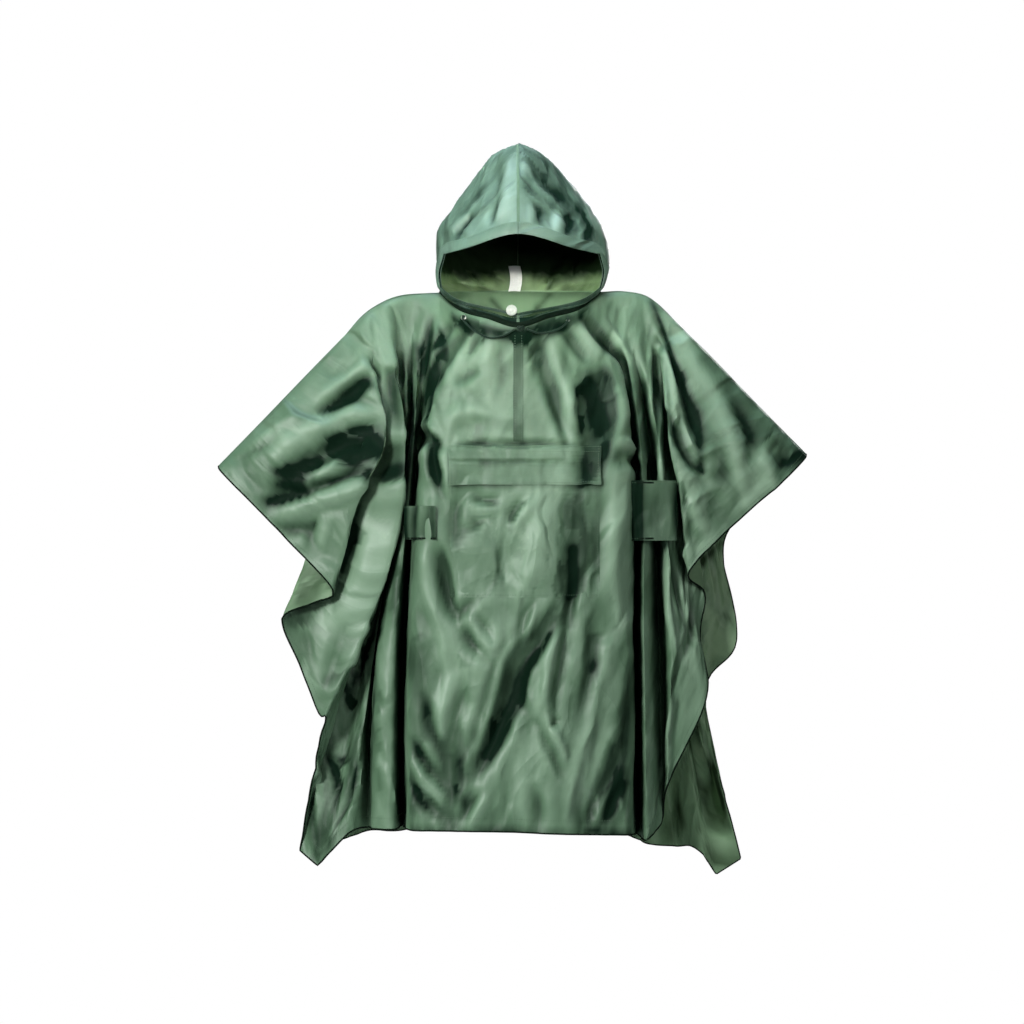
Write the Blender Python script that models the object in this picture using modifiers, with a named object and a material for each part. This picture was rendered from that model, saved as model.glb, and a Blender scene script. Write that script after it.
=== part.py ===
"""Rain poncho, worn shape: front and back panels draped from one shoulder line, a two panel hood,
a chest pouch pocket with its flap, a neck placket, side tabs, drawcords and small hardware.
Metres, +Z up, the front faces -Y. The origin is at the base of the neck."""

import math

import bmesh
import bpy
import numpy as np
from mathutils import Vector
from mathutils.bvhtree import BVHTree

MM = 0.001
PANEL_WALL = 2.0
HOOD_WALL = 1.8
PATCH_WALL = 1.6
SEAM_HALF_GAP = 0.9
HOOD_SEAM_HALF_GAP = 0.9
NECK_SEAM_RISE = 2.4
PATCH_CLEARANCE = 1.6
BAND_CLEARANCE = 1.8
PLACKET_CLEARANCE = 0.7
HEM_BAND_WIDTH = 20.0
CORD_RADIUS = 1.7
CORD_STEP = 5.0
EYELET_OUTER_RADIUS = 6.0
EYELET_HOLE_RADIUS = 2.35
STUD_RADIUS = 9.5

# Where the stations of a panel fold lie between the shoulder line and the edge.
STATIONS = (0.0, 0.05, 0.14, 0.34, 0.67, 1.0)
# How the cloth rounds over the shoulder: station, then the share of the way to the chest in x, y, z.
ROUNDING = ((1, 0.08, 0.24, 0.05), (2, 0.34, 0.55, 0.30))

# The shoulder line from the left arm to the neck and from the neck to the right arm.
LINE_COLUMNS = ("place", "x", "y", "z")
SHOULDER_LEFT = (
    (-303, -303, 0, -61),
    (-262, -272, 0, -26),
    (-225, -241, 0, -5),
    (-185, -206, 0, 8),
    (-135, -136, 0, 13),
)
SHOULDER_RIGHT = (
    (142, 143, 0, 14),
    (187, 187, 0, 15),
    (231, 231, 0, 4),
    (262, 262, 0, -22),
    (275, 275, 0, -36),
)

# The neckline, front and back, in the same columns.
NECK_FRONT = (
    (-135, -136, 0, 13),
    (-95, -101, -64, -23),
    (-50, -52, -108, -43),
    (0, 0, -123, -50),
    (50, 52, -108, -43),
    (97, 105, -64, -24),
    (142, 143, 0, 14),
)
NECK_BACK = (
    (-135, -136, 0, 13),
    (-95, -101, 50, 17),
    (-50, -52, 80, 19),
    (0, 0, 88, 20),
    (50, 52, 80, 19),
    (97, 105, 50, 17),
    (142, 143, 0, 14),
)

# One row a fold of the front panel, left arm to right arm. The place is where the fold leaves the
# shoulder line. Chest, waist and end are points on the fold, and the end lies on the side edge or hem.
FOLD_COLUMNS = (
    "place",
    "chest_x", "chest_y", "chest_z",
    "waist_x", "waist_y", "waist_z",
    "end_x", "end_y", "end_z",
)
FRONT_FOLDS = (
    (-303, -378, 0, -138, -452, 0, -215, -527, 0, -292),
    (-299, -374, -26, -147, -447, -28, -224, -520, -24, -302),
    (-288, -346, -50, -172, -425, -60, -254, -476, -48, -346),
    (-276, -303, -68, -227, -357, -74, -324, -404, -60, -419),
    (-262, -233, -88, -225, -266, -94, -350, -320, -80, -507),
    (-252, -237, -62, -226, -286, -58, -366, -358, -40, -531),
    (-243, -262, -34, -235, -347, -10, -402, -411, -4, -560),
    (-232, -243, -20, -232, -318, 4, -440, -382, 12, -640),
    (-222, -220, -36, -226, -264, -42, -490, -352, -32, -716),
    (-212, -196, -82, -214, -220, -86, -472, -338, -52, -749),
    (-204, -206, -50, -218, -238, -44, -500, -350, -30, -800),
    (-196, -216, -16, -226, -276, -2, -540, -384, 2, -968),
    (-187, -206, -18, -226, -262, 6, -575, -352, -16, -993),
    (-178, -196, -32, -230, -250, -16, -600, -296, -40, -934),
    (-168, -189, -10, -234, -238, 2, -640, -266, 0, -926),
    (-158, -182, -62, -236, -217, -76, -620, -231, -84, -924),
    (-148, -174, -28, -240, -197, -10, -600, -202, -6, -922),
    (-136, -160, -102, -234, -184, -108, -560, -188, -104, -924),
    (-95, -120, -124, -242, -132, -128, -570, -142, -120, -924),
    (-50, -62, -133, -250, -60, -140, -580, -64, -136, -924),
    (0, 0, -137, -256, 0, -143, -580, 0, -138, -925),
    (50, 62, -133, -250, 58, -150, -580, 62, -150, -927),
    (97, 124, -124, -242, 122, -132, -570, 130, -126, -930),
    (142, 182, -102, -232, 186, -110, -560, 191, -106, -932),
    (156, 200, -32, -238, 203, -14, -600, 208, -22, -936),
    (168, 216, -66, -238, 225, -76, -610, 231, -66, -942),
    (180, 229, -28, -236, 247, -18, -600, 252, -36, -912),
    (192, 240, -66, -230, 264, -76, -560, 262, -48, -848),
    (204, 252, -50, -224, 280, -62, -500, 329, -44, -696),
    (216, 262, -30, -220, 292, -42, -450, 318, -36, -592),
    (228, 274, -26, -216, 311, -28, -395, 328, -26, -516),
    (240, 258, -84, -216, 283, -92, -350, 299, -80, -474),
    (254, 286, -70, -208, 336, -76, -300, 395, -60, -377),
    (266, 324, -50, -164, 390, -60, -240, 455, -48, -326),
    (273, 333, -26, -106, 416, -28, -192, 500, -24, -282),
    (275, 337, 0, -97, 421, 0, -184, 507, 0, -271),
)

# One row a fold of the back panel, in the same columns.
BACK_FOLDS = (
    (-303, -378, 0, -138, -452, 0, -215, -527, 0, -292),
    (-299, -374, 26, -147, -447, 28, -224, -520, 24, -302),
    (-288, -344, 50, -174, -420, 62, -262, -470, 52, -352),
    (-272, -300, 66, -232, -348, 78, -338, -392, 66, -430),
    (-252, -246, 84, -236, -280, 92, -400, -316, 84, -518),
    (-236, -254, 54, -240, -314, 50, -440, -362, 56, -584),
    (-220, -236, 66, -236, -276, 78, -520, -342, 74, -740),
    (-204, -232, 50, -236, -272, 46, -580, -350, 36, -940),
    (-180, -204, 88, -236, -226, 106, -600, -262, 108, -940),
    (-158, -184, 80, -240, -194, 70, -610, -220, 60, -938),
    (-135, -156, 108, -244, -156, 136, -610, -166, 150, -937),
    (-95, -108, 112, -250, -104, 110, -610, -112, 100, -936),
    (-50, -54, 124, -254, -48, 150, -610, -48, 164, -936),
    (0, 0, 118, -256, 8, 118, -610, 14, 108, -937),
    (50, 54, 124, -254, 62, 152, -610, 74, 168, -939),
    (97, 112, 112, -250, 118, 112, -610, 134, 102, -942),
    (142, 160, 108, -244, 170, 138, -610, 188, 150, -950),
    (166, 186, 80, -240, 206, 70, -610, 236, 64, -962),
    (188, 206, 88, -236, 236, 100, -600, 282, 94, -968),
    (208, 236, 46, -236, 276, 38, -620, 316, 34, -966),
    (220, 246, 58, -236, 292, 48, -690, 350, 24, -1012),
    (232, 258, 42, -234, 303, 31, -700, 393, 18, -984),
    (242, 264, 34, -230, 314, 28, -540, 333, 30, -700),
    (252, 272, 46, -226, 342, 40, -460, 387, 30, -588),
    (262, 284, 62, -206, 340, 70, -330, 392, 62, -398),
    (269, 318, 48, -164, 386, 58, -246, 452, 50, -332),
    (273, 333, 26, -106, 416, 28, -192, 500, 24, -282),
    (275, 337, 0, -97, 421, 0, -184, 507, 0, -271),
)

# Folds, by their place, that turn so tightly that the panel has more columns after them.
FRONT_TIGHT = {-262: 3, -252: 3, 168: 3, 180: 3, 216: 3, 228: 4, 240: 4}
BACK_TIGHT = {-252: 5, -236: 4, 232: 4, 242: 4}

# One row a level of the hood, from the neck seam up to the ridge of the crown. Front, quarter,
# side and back are points round the level, and the last level lies along the ridge.
LEVEL_COLUMNS = (
    "front_y", "front_z",
    "quarter_left", "quarter_right", "quarter_y", "quarter_z",
    "side_left", "side_right", "side_y", "side_z",
    "back_y", "back_z",
)
HOOD_LEVELS = (
    (-122, -47, 103, 107, -66, -22, 137, 144, 0, 16, 88, 23),
    (-120, -33, 105, 110, -67, -10, 140, 149, -4, 26, 95, 40),
    (-116, -19, 106, 112, -66, 0, 142, 153, -6, 36, 101, 60),
    (-122, 40, 108, 116, -72, 40, 143, 158, -2, 56, 107, 88),
    (-131, 108, 92, 100, -99, 84, 142, 158, -4, 78, 112, 122),
    (-114, 152, 86, 92, -68, 130, 138, 147, 2, 126, 110, 166),
    (-86, 198, 62, 67, -44, 184, 103, 112, 6, 181, 94, 210),
    (-54, 240, 34, 37, -26, 234, 57, 62, 8, 228, 68, 244),
    (-24, 270, 0, 0, -8, 273, 0, 0, 8, 274, 34, 266),
)
LEVEL_PLACES = (0.0, 0.27, 0.5, 0.76, 1.0)
FACE_LOWER_LEVEL = 2
FACE_UPPER_LEVEL = 4
FACE_CORNER = 0.4


# Pieces that lie on the front panel: left, right, top and bottom.
POCKET = (-118, 141, -284, -520)
FLAP = (-121, 144, -258, -326)
PLACKET = (-8, 9, -66, -250)

# Side tabs, as (x, y) from one end to the other, and the top and bottom of each.
TAB_LEFT = ((-196, -98), (-190, -108), (-182, -115), (-170, -122), (-156, -129), (-142, -134))
TAB_RIGHT = ((184, -117), (199, -117), (214, -113), (229, -109), (244, -107), (260, -105), (276, -103))
TAB_SPANS = {"side_tab_left": (-362, -420), "side_tab_right": (-318, -422)}
TAB_HEIGHTS = (0.0, 0.33, 0.67, 1.0)

# Eyelets as (x, z, distance off the panel).
EYELETS = {"eyelet_left": (-93, -35, 0.9), "eyelet_right": (84, -39, 1.6)}
# Cord points as (x, z, distance off the panel).
CORD_ROUTES = {
    "drawcord_left": (
        (-93, -35, 1.0), (-92.6, -36, 7.0), (-88, -42, 11.5), (-80, -52, 11.0), (-66, -64, 7.5), (-46, -72, 5.6),
        (-24, -68, 5.2), (-6, -58, 5.5),
    ),
    "drawcord_right": (
        (84, -39, 1.0), (83.6, -40, 7.4), (79, -46, 11.5), (70, -55, 10.5), (54, -62, 7.0), (34, -64, 5.4),
        (15, -58, 5.5),
    ),
}
KNOT = (4, -56, 4.7)
KNOT_SIZE = (7.0, 4.2, 5.5)
STUD_LIFT = 9.2
LABEL_LEFT = -17
LABEL_RIGHT = 4
LABEL_TOP = 66
LABEL_BOTTOM = 20
LABEL_DEPTH_TOP = 97.2
LABEL_DEPTH_BOTTOM = 82


def hermite(knots, values, at):
    """A smooth curve through the values at the knots, evaluated at every point of at."""
    knots = np.asarray(knots, float)
    values = np.asarray(values, float)
    at = np.asarray(at, float)
    steps = np.diff(knots)
    shape = (-1,) + (1,) * (values.ndim - 1)
    slopes = np.diff(values, axis=0) / steps.reshape(shape)
    tangents = np.empty_like(values)
    tangents[0] = slopes[0]
    tangents[-1] = slopes[-1]
    before = steps[:-1].reshape(shape)
    after = steps[1:].reshape(shape)
    tangents[1:-1] = (slopes[:-1] * after + slopes[1:] * before) / (before + after)
    i = np.clip(np.searchsorted(knots, at, side="right") - 1, 0, len(steps) - 1)
    h = steps[i].reshape(shape)
    t = ((at - knots[i]) / steps[i]).reshape(shape)
    return (
        values[i] * (2 * t**3 - 3 * t**2 + 1)
        + tangents[i] * h * (t**3 - 2 * t**2 + t)
        + values[i + 1] * (3 * t**2 - 2 * t**3)
        + tangents[i + 1] * h * (t**3 - t**2)
    )


def along_line(places, table):
    table = np.array(table, float)
    return hermite(table[:, 0], table[:, 1:], np.atleast_1d(np.asarray(places, float)))


def top_points(places, neck):
    """Where the folds leave the shoulder line or the neckline."""
    left_end = SHOULDER_LEFT[-1][0]
    right_end = SHOULDER_RIGHT[0][0]
    points = []
    for place in places:
        table = neck
        if place <= left_end:
            table = SHOULDER_LEFT
        if place >= right_end:
            table = SHOULDER_RIGHT
        points.append(along_line(place, table)[0])
    return np.array(points)


def panel_net(folds, side, neck):
    """The control points of a panel, folds by stations, in millimetres. Side is -1 for the front."""
    rows = np.array(folds, float)
    top = top_points(rows[:, 0], neck)
    chest, waist, end = rows[:, 1:4], rows[:, 4:7], rows[:, 7:10]
    net = np.zeros((len(rows), len(STATIONS), 3))
    net[:, 0] = top
    net[:, 3] = chest
    net[:, 4] = waist
    net[:, 5] = end
    # Near the shoulder the folds die out, so the depth there is the mean of the folds beside it.
    depth = chest[:, 1]
    calm = depth.copy()
    for _ in range(3):
        calm[1:-1] = (calm[:-2] + 2 * calm[1:-1] + calm[2:]) / 4
    across = chest[:, 0].copy()
    for _ in range(3):
        across[1:-1] = (across[:-2] + 2 * across[1:-1] + across[2:]) / 4
    for station, share_x, share_y, share_z in ROUNDING:
        net[:, station, 0] = top[:, 0] + share_x * (across - top[:, 0])
        net[:, station, 1] = top[:, 1] + share_y * (calm - top[:, 1])
        net[:, station, 2] = top[:, 2] + share_z * (chest[:, 2] - top[:, 2])
    for first, second in ((0, 1), (-1, -2)):
        for k, (share, depth_share) in enumerate(((0.0, 0.0), (0.13, 0.42), (0.38, 0.78))):
            net[first, k] = top[first] + share * (chest[first] - top[first])
            net[second, k] = top[second] + share * (chest[second] - top[second])
            net[second, k, 1] = chest[second, 1] * depth_share
    net[:, 0, 1] += side * SEAM_HALF_GAP
    for edge in (0, -1):
        net[edge, 1:, 1] += side * SEAM_HALF_GAP
    return net * MM


def fold_columns(folds, tight):
    """Two columns from each fold to the next, and more where a tight fold needs them."""
    return [tight.get(place, 2) for place, *rest in folds[:-1]]


def columns(counts):
    """Places across the folds: so many columns between each fold and the next."""
    at = [0.0]
    for i, count in enumerate(counts):
        at += [i + (k + 1) / count for k in range(count)]
    return np.array(at)


def panel_points(net, across, down, folds, side, neck):
    """The surface of a panel at every column and row, as a rows by columns by 3 array."""
    index = np.arange(len(net), dtype=float)
    wide = hermite(index, net, across)
    deep = hermite(STATIONS, wide.transpose(1, 0, 2), down)
    # The top row follows the shoulder line and the neckline exactly.
    places = np.interp(across, index, [fold[0] for fold in folds])
    top = top_points(places, neck)
    top[:, 1] += side * SEAM_HALF_GAP
    change = top * MM - deep[0]
    fade = np.clip(1 - np.asarray(down) / 0.2, 0, 1) ** 2
    return deep + fade[:, None, None] * change[None, :, :]


def grid_object(name, points, wall, colour, hole=None):
    """A shell: a grid laid over the rows by columns of points, thickened with Solidify.
    The cells of a hole are (first row, last row, first column, last column)."""
    rows, cols = points.shape[:2]
    bpy.ops.mesh.primitive_grid_add(x_subdivisions=cols - 1, y_subdivisions=rows - 1, size=2)
    obj = bpy.context.object
    obj.name = name
    obj.data.name = name
    mesh = bmesh.new()
    mesh.from_mesh(obj.data)
    cells = []
    for face in mesh.faces:
        centre = face.calc_center_median()
        c = (centre.x + 1) / 2 * (cols - 1)
        r = (1 - centre.y) / 2 * (rows - 1)
        if hole and hole[0] < r < hole[1] and hole[2] < c < hole[3]:
            cells.append(face)
    for vertex in mesh.verts:
        c = round((vertex.co.x + 1) / 2 * (cols - 1))
        r = round((1 - vertex.co.y) / 2 * (rows - 1))
        vertex.co = points[r, c]
    if cells:
        bmesh.ops.delete(mesh, geom=cells, context="FACES")
    mesh.to_mesh(obj.data)
    mesh.free()
    shell = obj.modifiers.new("cloth_wall", "SOLIDIFY")
    shell.thickness = wall * MM
    shell.offset = 0.0
    shell.use_rim = True
    finish(obj, colour)
    return obj


def finish(obj, colour):
    material = bpy.data.materials.new(obj.name + "_material")
    material.use_nodes = True
    shader = material.node_tree.nodes["Principled BSDF"]
    shader.inputs["Base Color"].default_value = (*colour, 1.0)
    shader.inputs["Roughness"].default_value = 0.45
    obj.data.materials.clear()
    obj.data.materials.append(material)
    for collection in list(obj.users_collection):
        collection.objects.unlink(obj)
    PARTS.objects.link(obj)


def surface_tree(points):
    rows, cols = points.shape[:2]
    vertices = [Vector(p) for p in points.reshape(-1, 3)]
    faces = [
        (r * cols + c, r * cols + c + 1, (r + 1) * cols + c + 1, (r + 1) * cols + c)
        for r in range(rows - 1)
        for c in range(cols - 1)
    ]
    return BVHTree.FromPolygons(vertices, faces)


def laid_on(tree, x, z, lift):
    """The point of the front surface behind (x, z), in millimetres, moved out by lift."""
    hit = tree.ray_cast(Vector((x * MM, -1.0, z * MM)), Vector((0, 1, 0)))
    normal = hit[1]
    if normal.y > 0:
        normal = -normal
    return np.array(hit[0] + normal * lift * MM)


def patch_points(tree, size, cols, rows, lift):
    """A piece that lies on the front panel and follows it. The size is left, right, top, bottom."""
    left, right, top, bottom = size
    points = np.zeros((rows, cols, 3))
    for r in range(rows):
        for c in range(cols):
            v = r / (rows - 1)
            x = left + (right - left) * c / (cols - 1)
            z = top + (bottom - top) * v
            points[r, c] = laid_on(tree, x, z, lift(v))
    return points


def hood_net(levels, side):
    """Control points of one hood panel, levels by five, in metres. Side is -1 for the left."""
    net = []
    for level in levels:
        row = dict(zip(LEVEL_COLUMNS, level))
        name = "left" if side < 0 else "right"
        quarter_x = max(row["quarter_" + name], HOOD_SEAM_HALF_GAP)
        side_x = max(row["side_" + name], HOOD_SEAM_HALF_GAP)
        front = np.array((HOOD_SEAM_HALF_GAP, row["front_y"], row["front_z"]), float)
        quarter = np.array((quarter_x, row["quarter_y"], row["quarter_z"]), float)
        flank = np.array((side_x, row["side_y"], row["side_z"]), float)
        back = np.array((HOOD_SEAM_HALF_GAP, row["back_y"], row["back_z"]), float)
        rear = flank + (back - flank) * np.array((0.27, 0.72, 0.5))
        net.append((front, quarter, flank, rear, back))
    net = np.array(net)
    net[:, :, 0] *= side
    return net * MM


def hood_at(net, level, around):
    """A point of the hood at a level and a place round it."""
    ring = hermite(np.arange(len(net), dtype=float), net, np.array([level]))[0]
    point = hermite(LEVEL_PLACES, ring, np.array([around]))[0]
    if level < 1.0:
        side = np.sign(net[0, 2, 0])
        own = hermite(LEVEL_PLACES, net[0], np.array([around]))[0]
        point = point + (neck_seam(around, side) - own) * (1.0 - level)
    return point


def neck_seam(around, side):
    """The seam of the hood, which stands just above the neckline of the panels."""
    end = SHOULDER_LEFT[-1][0] if side < 0 else SHOULDER_RIGHT[0][0]
    if around <= 0.5:
        point = along_line(end * around / 0.5, NECK_FRONT)[0]
    else:
        point = along_line(end * (1.0 - around) / 0.5, NECK_BACK)[0]
    point[0] = side * max(abs(point[0]), HOOD_SEAM_HALF_GAP)
    point[2] += NECK_SEAM_RISE
    return point * MM


def hood_points(net, levels, places):
    return np.array([[hood_at(net, level, place) for place in places] for level in levels])


def hood_normal(net, level, around):
    """The outward direction of the hood at a point of it."""
    step = 0.02
    low = max(level - step, 0.0)
    high = min(level + step, len(net) - 1.0)
    left = max(around - step, 0.0)
    right = min(around + step, 1.0)
    up = hood_at(net, high, around) - hood_at(net, low, around)
    round_it = hood_at(net, level, right) - hood_at(net, level, left)
    normal = np.cross(up, round_it)
    normal /= np.linalg.norm(normal)
    outward = hood_at(net, level, around) - np.array((0.0, 0.0, 0.06))
    return normal if normal @ outward > 0 else -normal


def face_path(steps):
    """Level and place round the hood along the face opening, from the chin over to the brim."""
    path = []
    for k in range(steps):
        path.append((FACE_LOWER_LEVEL, FACE_CORNER * k / steps, -1, 0))
    for k in range(5):
        share = k / 4
        level = FACE_LOWER_LEVEL + (FACE_UPPER_LEVEL - FACE_LOWER_LEVEL) * share
        path.append((level, FACE_CORNER, 2 * share - 1, math.sin(math.pi * (0.2 + 0.6 * share))))
    for k in range(steps):
        path.append((FACE_UPPER_LEVEL, FACE_CORNER * (1 - (k + 1) / steps), 1, 0))
    return path


def face_band(net, steps, wall_gap):
    """The hem band round half of the face opening, as three rows of points outside the hood."""
    rows = [[], [], []]
    for level, around, level_way, round_way in face_path(steps):
        here = hood_at(net, level, around)
        for i, share in enumerate((0.0, 0.5, 1.0)):
            reach = share * HEM_BAND_WIDTH * MM
            tall = level + level_way * share * 0.35
            wide = around + round_way * share * 0.06
            for _ in range(6):
                point = hood_at(net, tall, wide)
                gone = np.linalg.norm(point - here)
                if reach < 1e-9 or gone < 1e-9:
                    break
                scale = reach / gone
                tall = level + (tall - level) * scale
                wide = around + (wide - around) * scale
            normal = hood_normal(net, tall, wide)
            rows[i].append(hood_at(net, tall, wide) + normal * (wall_gap + 2.8 * round_way) * MM)
    return np.array(rows)


def smooth_route(knots, step):
    """Evenly spaced points on a smooth curve through the knots, in millimetres."""
    knots = np.array(knots, float)
    gaps = np.linalg.norm(np.diff(knots, axis=0), axis=1)
    at = np.concatenate([[0.0], np.cumsum(np.sqrt(gaps))])
    fine = hermite(at, knots, np.linspace(0, at[-1], 400))
    run = np.concatenate([[0.0], np.cumsum(np.linalg.norm(np.diff(fine, axis=0), axis=1))])
    marks = np.linspace(0, run[-1], max(3, round(run[-1] / step)))
    return np.stack([np.interp(marks, run, fine[:, k]) for k in range(3)], axis=1)


def tube(name, knots, radius, colour):
    """A cord: a smooth run of points with a round bevel and closed ends."""
    points = smooth_route(knots, CORD_STEP)
    curve = bpy.data.curves.new(name, "CURVE")
    curve.dimensions = "3D"
    curve.bevel_depth = radius * MM
    curve.bevel_resolution = 2
    curve.use_fill_caps = True
    spline = curve.splines.new("POLY")
    spline.points.add(len(points) - 1)
    for knot, point in zip(spline.points, points):
        knot.co = (*(Vector(point) * MM), 1.0)
    obj = bpy.data.objects.new(name, curve)
    bpy.context.collection.objects.link(obj)
    finish(obj, colour)
    return obj


def turned(name, profile, place, axis, colour, segments=24):
    """A ring or button: a closed profile of (radius, height) turned round its axis."""
    mesh = bpy.data.meshes.new(name)
    count = len(profile)
    on_axis = [radius < 1e-6 for radius, height in profile]
    vertices = []
    index = {}
    for k in range(segments):
        angle = 2 * math.pi * k / segments
        for i, (radius, height) in enumerate(profile):
            if on_axis[i] and k > 0:
                index[k, i] = index[0, i]
                continue
            index[k, i] = len(vertices)
            vertices.append((radius * math.cos(angle) * MM, radius * math.sin(angle) * MM, height * MM))
    faces = []
    open_profile = any(on_axis)
    spans = count - 1 if open_profile else count
    for k in range(segments):
        n = (k + 1) % segments
        for i in range(spans):
            j = (i + 1) % count
            corner = [index[k, i], index[n, i], index[n, j], index[k, j]]
            face = list(dict.fromkeys(corner))
            if len(face) >= 3:
                faces.append(face)
    mesh.from_pydata(vertices, [], faces)
    obj = bpy.data.objects.new(name, mesh)
    obj.matrix_world = Vector(axis).to_track_quat("Z", "Y").to_matrix().to_4x4()
    obj.location = Vector(place) * MM
    bpy.context.collection.objects.link(obj)
    finish(obj, colour)
    return obj


def ball(name, place, size, colour):
    bpy.ops.mesh.primitive_uv_sphere_add(segments=16, ring_count=10, radius=1.0)
    obj = bpy.context.object
    obj.name = name
    obj.data.name = name
    for vertex in obj.data.vertices:
        vertex.co = Vector((vertex.co.x * size[0], vertex.co.y * size[1], vertex.co.z * size[2])) * MM
    obj.location = Vector(place) * MM
    finish(obj, colour)
    return obj


def constant(value):
    return lambda _: value


GREEN = (0.10, 0.20, 0.12)
DARK_GREEN = (0.04, 0.09, 0.05)
WHITE = (0.85, 0.85, 0.83)
METAL = (0.6, 0.58, 0.56)

for old in list(bpy.data.objects):
    bpy.data.objects.remove(old)

PARTS = bpy.data.collections.new("rain_poncho")
bpy.context.scene.collection.children.link(PARTS)

# Front panel.
front_net = panel_net(FRONT_FOLDS, -1, NECK_FRONT)
front_across = columns(fold_columns(FRONT_FOLDS, FRONT_TIGHT))
front_down = np.concatenate([np.linspace(0, 0.14, 4), np.linspace(0.14, 1.0, 17)[1:]])
front_points = panel_points(front_net, front_across, front_down, FRONT_FOLDS, -1, NECK_FRONT)
grid_object("front_panel", front_points, PANEL_WALL, GREEN)
front_tree = surface_tree(front_points)

# Back panel.
back_net = panel_net(BACK_FOLDS, 1, NECK_BACK)
back_across = columns(fold_columns(BACK_FOLDS, BACK_TIGHT))
back_down = np.concatenate([np.linspace(0, 0.14, 4), np.linspace(0.14, 1.0, 13)[1:]])
back_points = panel_points(back_net, back_across, back_down, BACK_FOLDS, 1, NECK_BACK)
grid_object("back_panel", back_points, PANEL_WALL, GREEN)

# Hood, two panels that meet on the centre seam, each with half of the hem band of the face opening.
hood_level_steps = (1, 1, 2, 2, 3, 3, 3, 3)
hood_levels = columns(hood_level_steps)
face_columns = 6
hood_places = np.concatenate([np.linspace(0, FACE_CORNER, face_columns + 1), np.linspace(FACE_CORNER, 1.0, 10)[1:]])
first_hole_row = sum(hood_level_steps[:FACE_LOWER_LEVEL])
last_hole_row = sum(hood_level_steps[:FACE_UPPER_LEVEL])
hood_nets = {}
for side, name in ((-1, "left"), (1, "right")):
    hood_nets[name] = hood_net(HOOD_LEVELS, side)
    shape = hood_points(hood_nets[name], hood_levels, hood_places)
    hole = (first_hole_row, last_hole_row, 0, face_columns)
    grid_object("hood_" + name, shape, HOOD_WALL, GREEN, hole)
    band = face_band(hood_nets[name], face_columns, HOOD_WALL / 2 + BAND_CLEARANCE + PATCH_WALL / 2)
    grid_object("hood_hem_" + name, band, PATCH_WALL, GREEN)

# Pocket, its flap and the placket lie on the front panel.
pocket_lift = PANEL_WALL / 2 + PATCH_CLEARANCE + PATCH_WALL / 2
flap_lift = pocket_lift + PATCH_WALL + PATCH_CLEARANCE
pocket_points = patch_points(
    front_tree, POCKET, 12, 11, constant(pocket_lift)
)
grid_object("pocket", pocket_points, PATCH_WALL, GREEN)
flap_points = patch_points(front_tree, FLAP, 13, 5, lambda v: pocket_lift + (flap_lift - pocket_lift) * min(1.0, v / 0.3))
grid_object("pocket_flap", flap_points, PATCH_WALL, GREEN)
placket_points = patch_points(front_tree, PLACKET, 3, 12, constant(pocket_lift - PATCH_CLEARANCE + PLACKET_CLEARANCE))
grid_object("placket", placket_points, PATCH_WALL, GREEN)

# Side tabs: each lies on the front panel beside the side folds and reaches over the deep fold.
for name, rows in (("side_tab_left", TAB_LEFT), ("side_tab_right", TAB_RIGHT)):
    tab = np.zeros((len(TAB_HEIGHTS), len(rows), 3))
    for c, (x, y) in enumerate(rows):
        for r, share in enumerate(TAB_HEIGHTS):
            top_z, bottom_z = TAB_SPANS[name]
            tab[r, c] = (x * MM, y * MM, (top_z + (bottom_z - top_z) * share) * MM)
    grid_object(name, tab, PATCH_WALL, GREEN)

# Eyelets on the front panel below the neckline, and the drawcord that comes out of them.
eyelet_half = 0.8
for name, (x, z, clear) in EYELETS.items():
    hit = front_tree.ray_cast(Vector((x * MM, -1.0, z * MM)), Vector((0, 1, 0)))
    normal = hit[1] if hit[1].y < 0 else -hit[1]
    lift = (PANEL_WALL / 2 + clear + eyelet_half) * MM
    ring = [
        (EYELET_HOLE_RADIUS, -eyelet_half),
        (EYELET_OUTER_RADIUS, -eyelet_half),
        (EYELET_OUTER_RADIUS - 0.8, eyelet_half),
        (EYELET_HOLE_RADIUS + 0.6, eyelet_half),
    ]
    turned(name, ring, tuple((hit[0] + normal * lift) / MM), normal, METAL)

for name, route in CORD_ROUTES.items():
    points = [tuple(laid_on(front_tree, x, z, PANEL_WALL / 2 + lift) / MM) for x, z, lift in route]
    tube(name, points, CORD_RADIUS, DARK_GREEN)
knot_place = laid_on(front_tree, KNOT[0], KNOT[1], PANEL_WALL / 2 + KNOT[2]) / MM
ball("cord_knot", tuple(knot_place), KNOT_SIZE, DARK_GREEN)

# Press stud at the throat, on the two ends of the hem band.
stud_at = hood_at(hood_nets["left"], 1.75, 0.015)
stud_profile = [(0.0, -1.2), (STUD_RADIUS, -1.2), (STUD_RADIUS, 0.4), (STUD_RADIUS - 2.0, 1.3), (0.0, 1.3)]
stud_place = (stud_at[0] / MM - 4.5, stud_at[1] / MM - STUD_LIFT, stud_at[2] / MM + 1.0)
turned("neck_stud", stud_profile, stud_place, (0, -1, 0.12), WHITE)

# Label inside the back of the hood.
label = np.zeros((5, 4, 3))
for r in range(5):
    for c in range(4):
        x = LABEL_LEFT + (LABEL_RIGHT - LABEL_LEFT) * c / 3
        z = LABEL_TOP + (LABEL_BOTTOM - LABEL_TOP) * r / 4
        label[r, c] = np.array((x, LABEL_DEPTH_TOP + (LABEL_DEPTH_BOTTOM - LABEL_DEPTH_TOP) * r / 4, z)) * MM
grid_object("neck_label", label, 1.0, WHITE)
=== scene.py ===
import math

import bmesh
import bpy
import numpy as np
from mathutils import Matrix, Vector, noise
from mathutils.bvhtree import BVHTree


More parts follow.
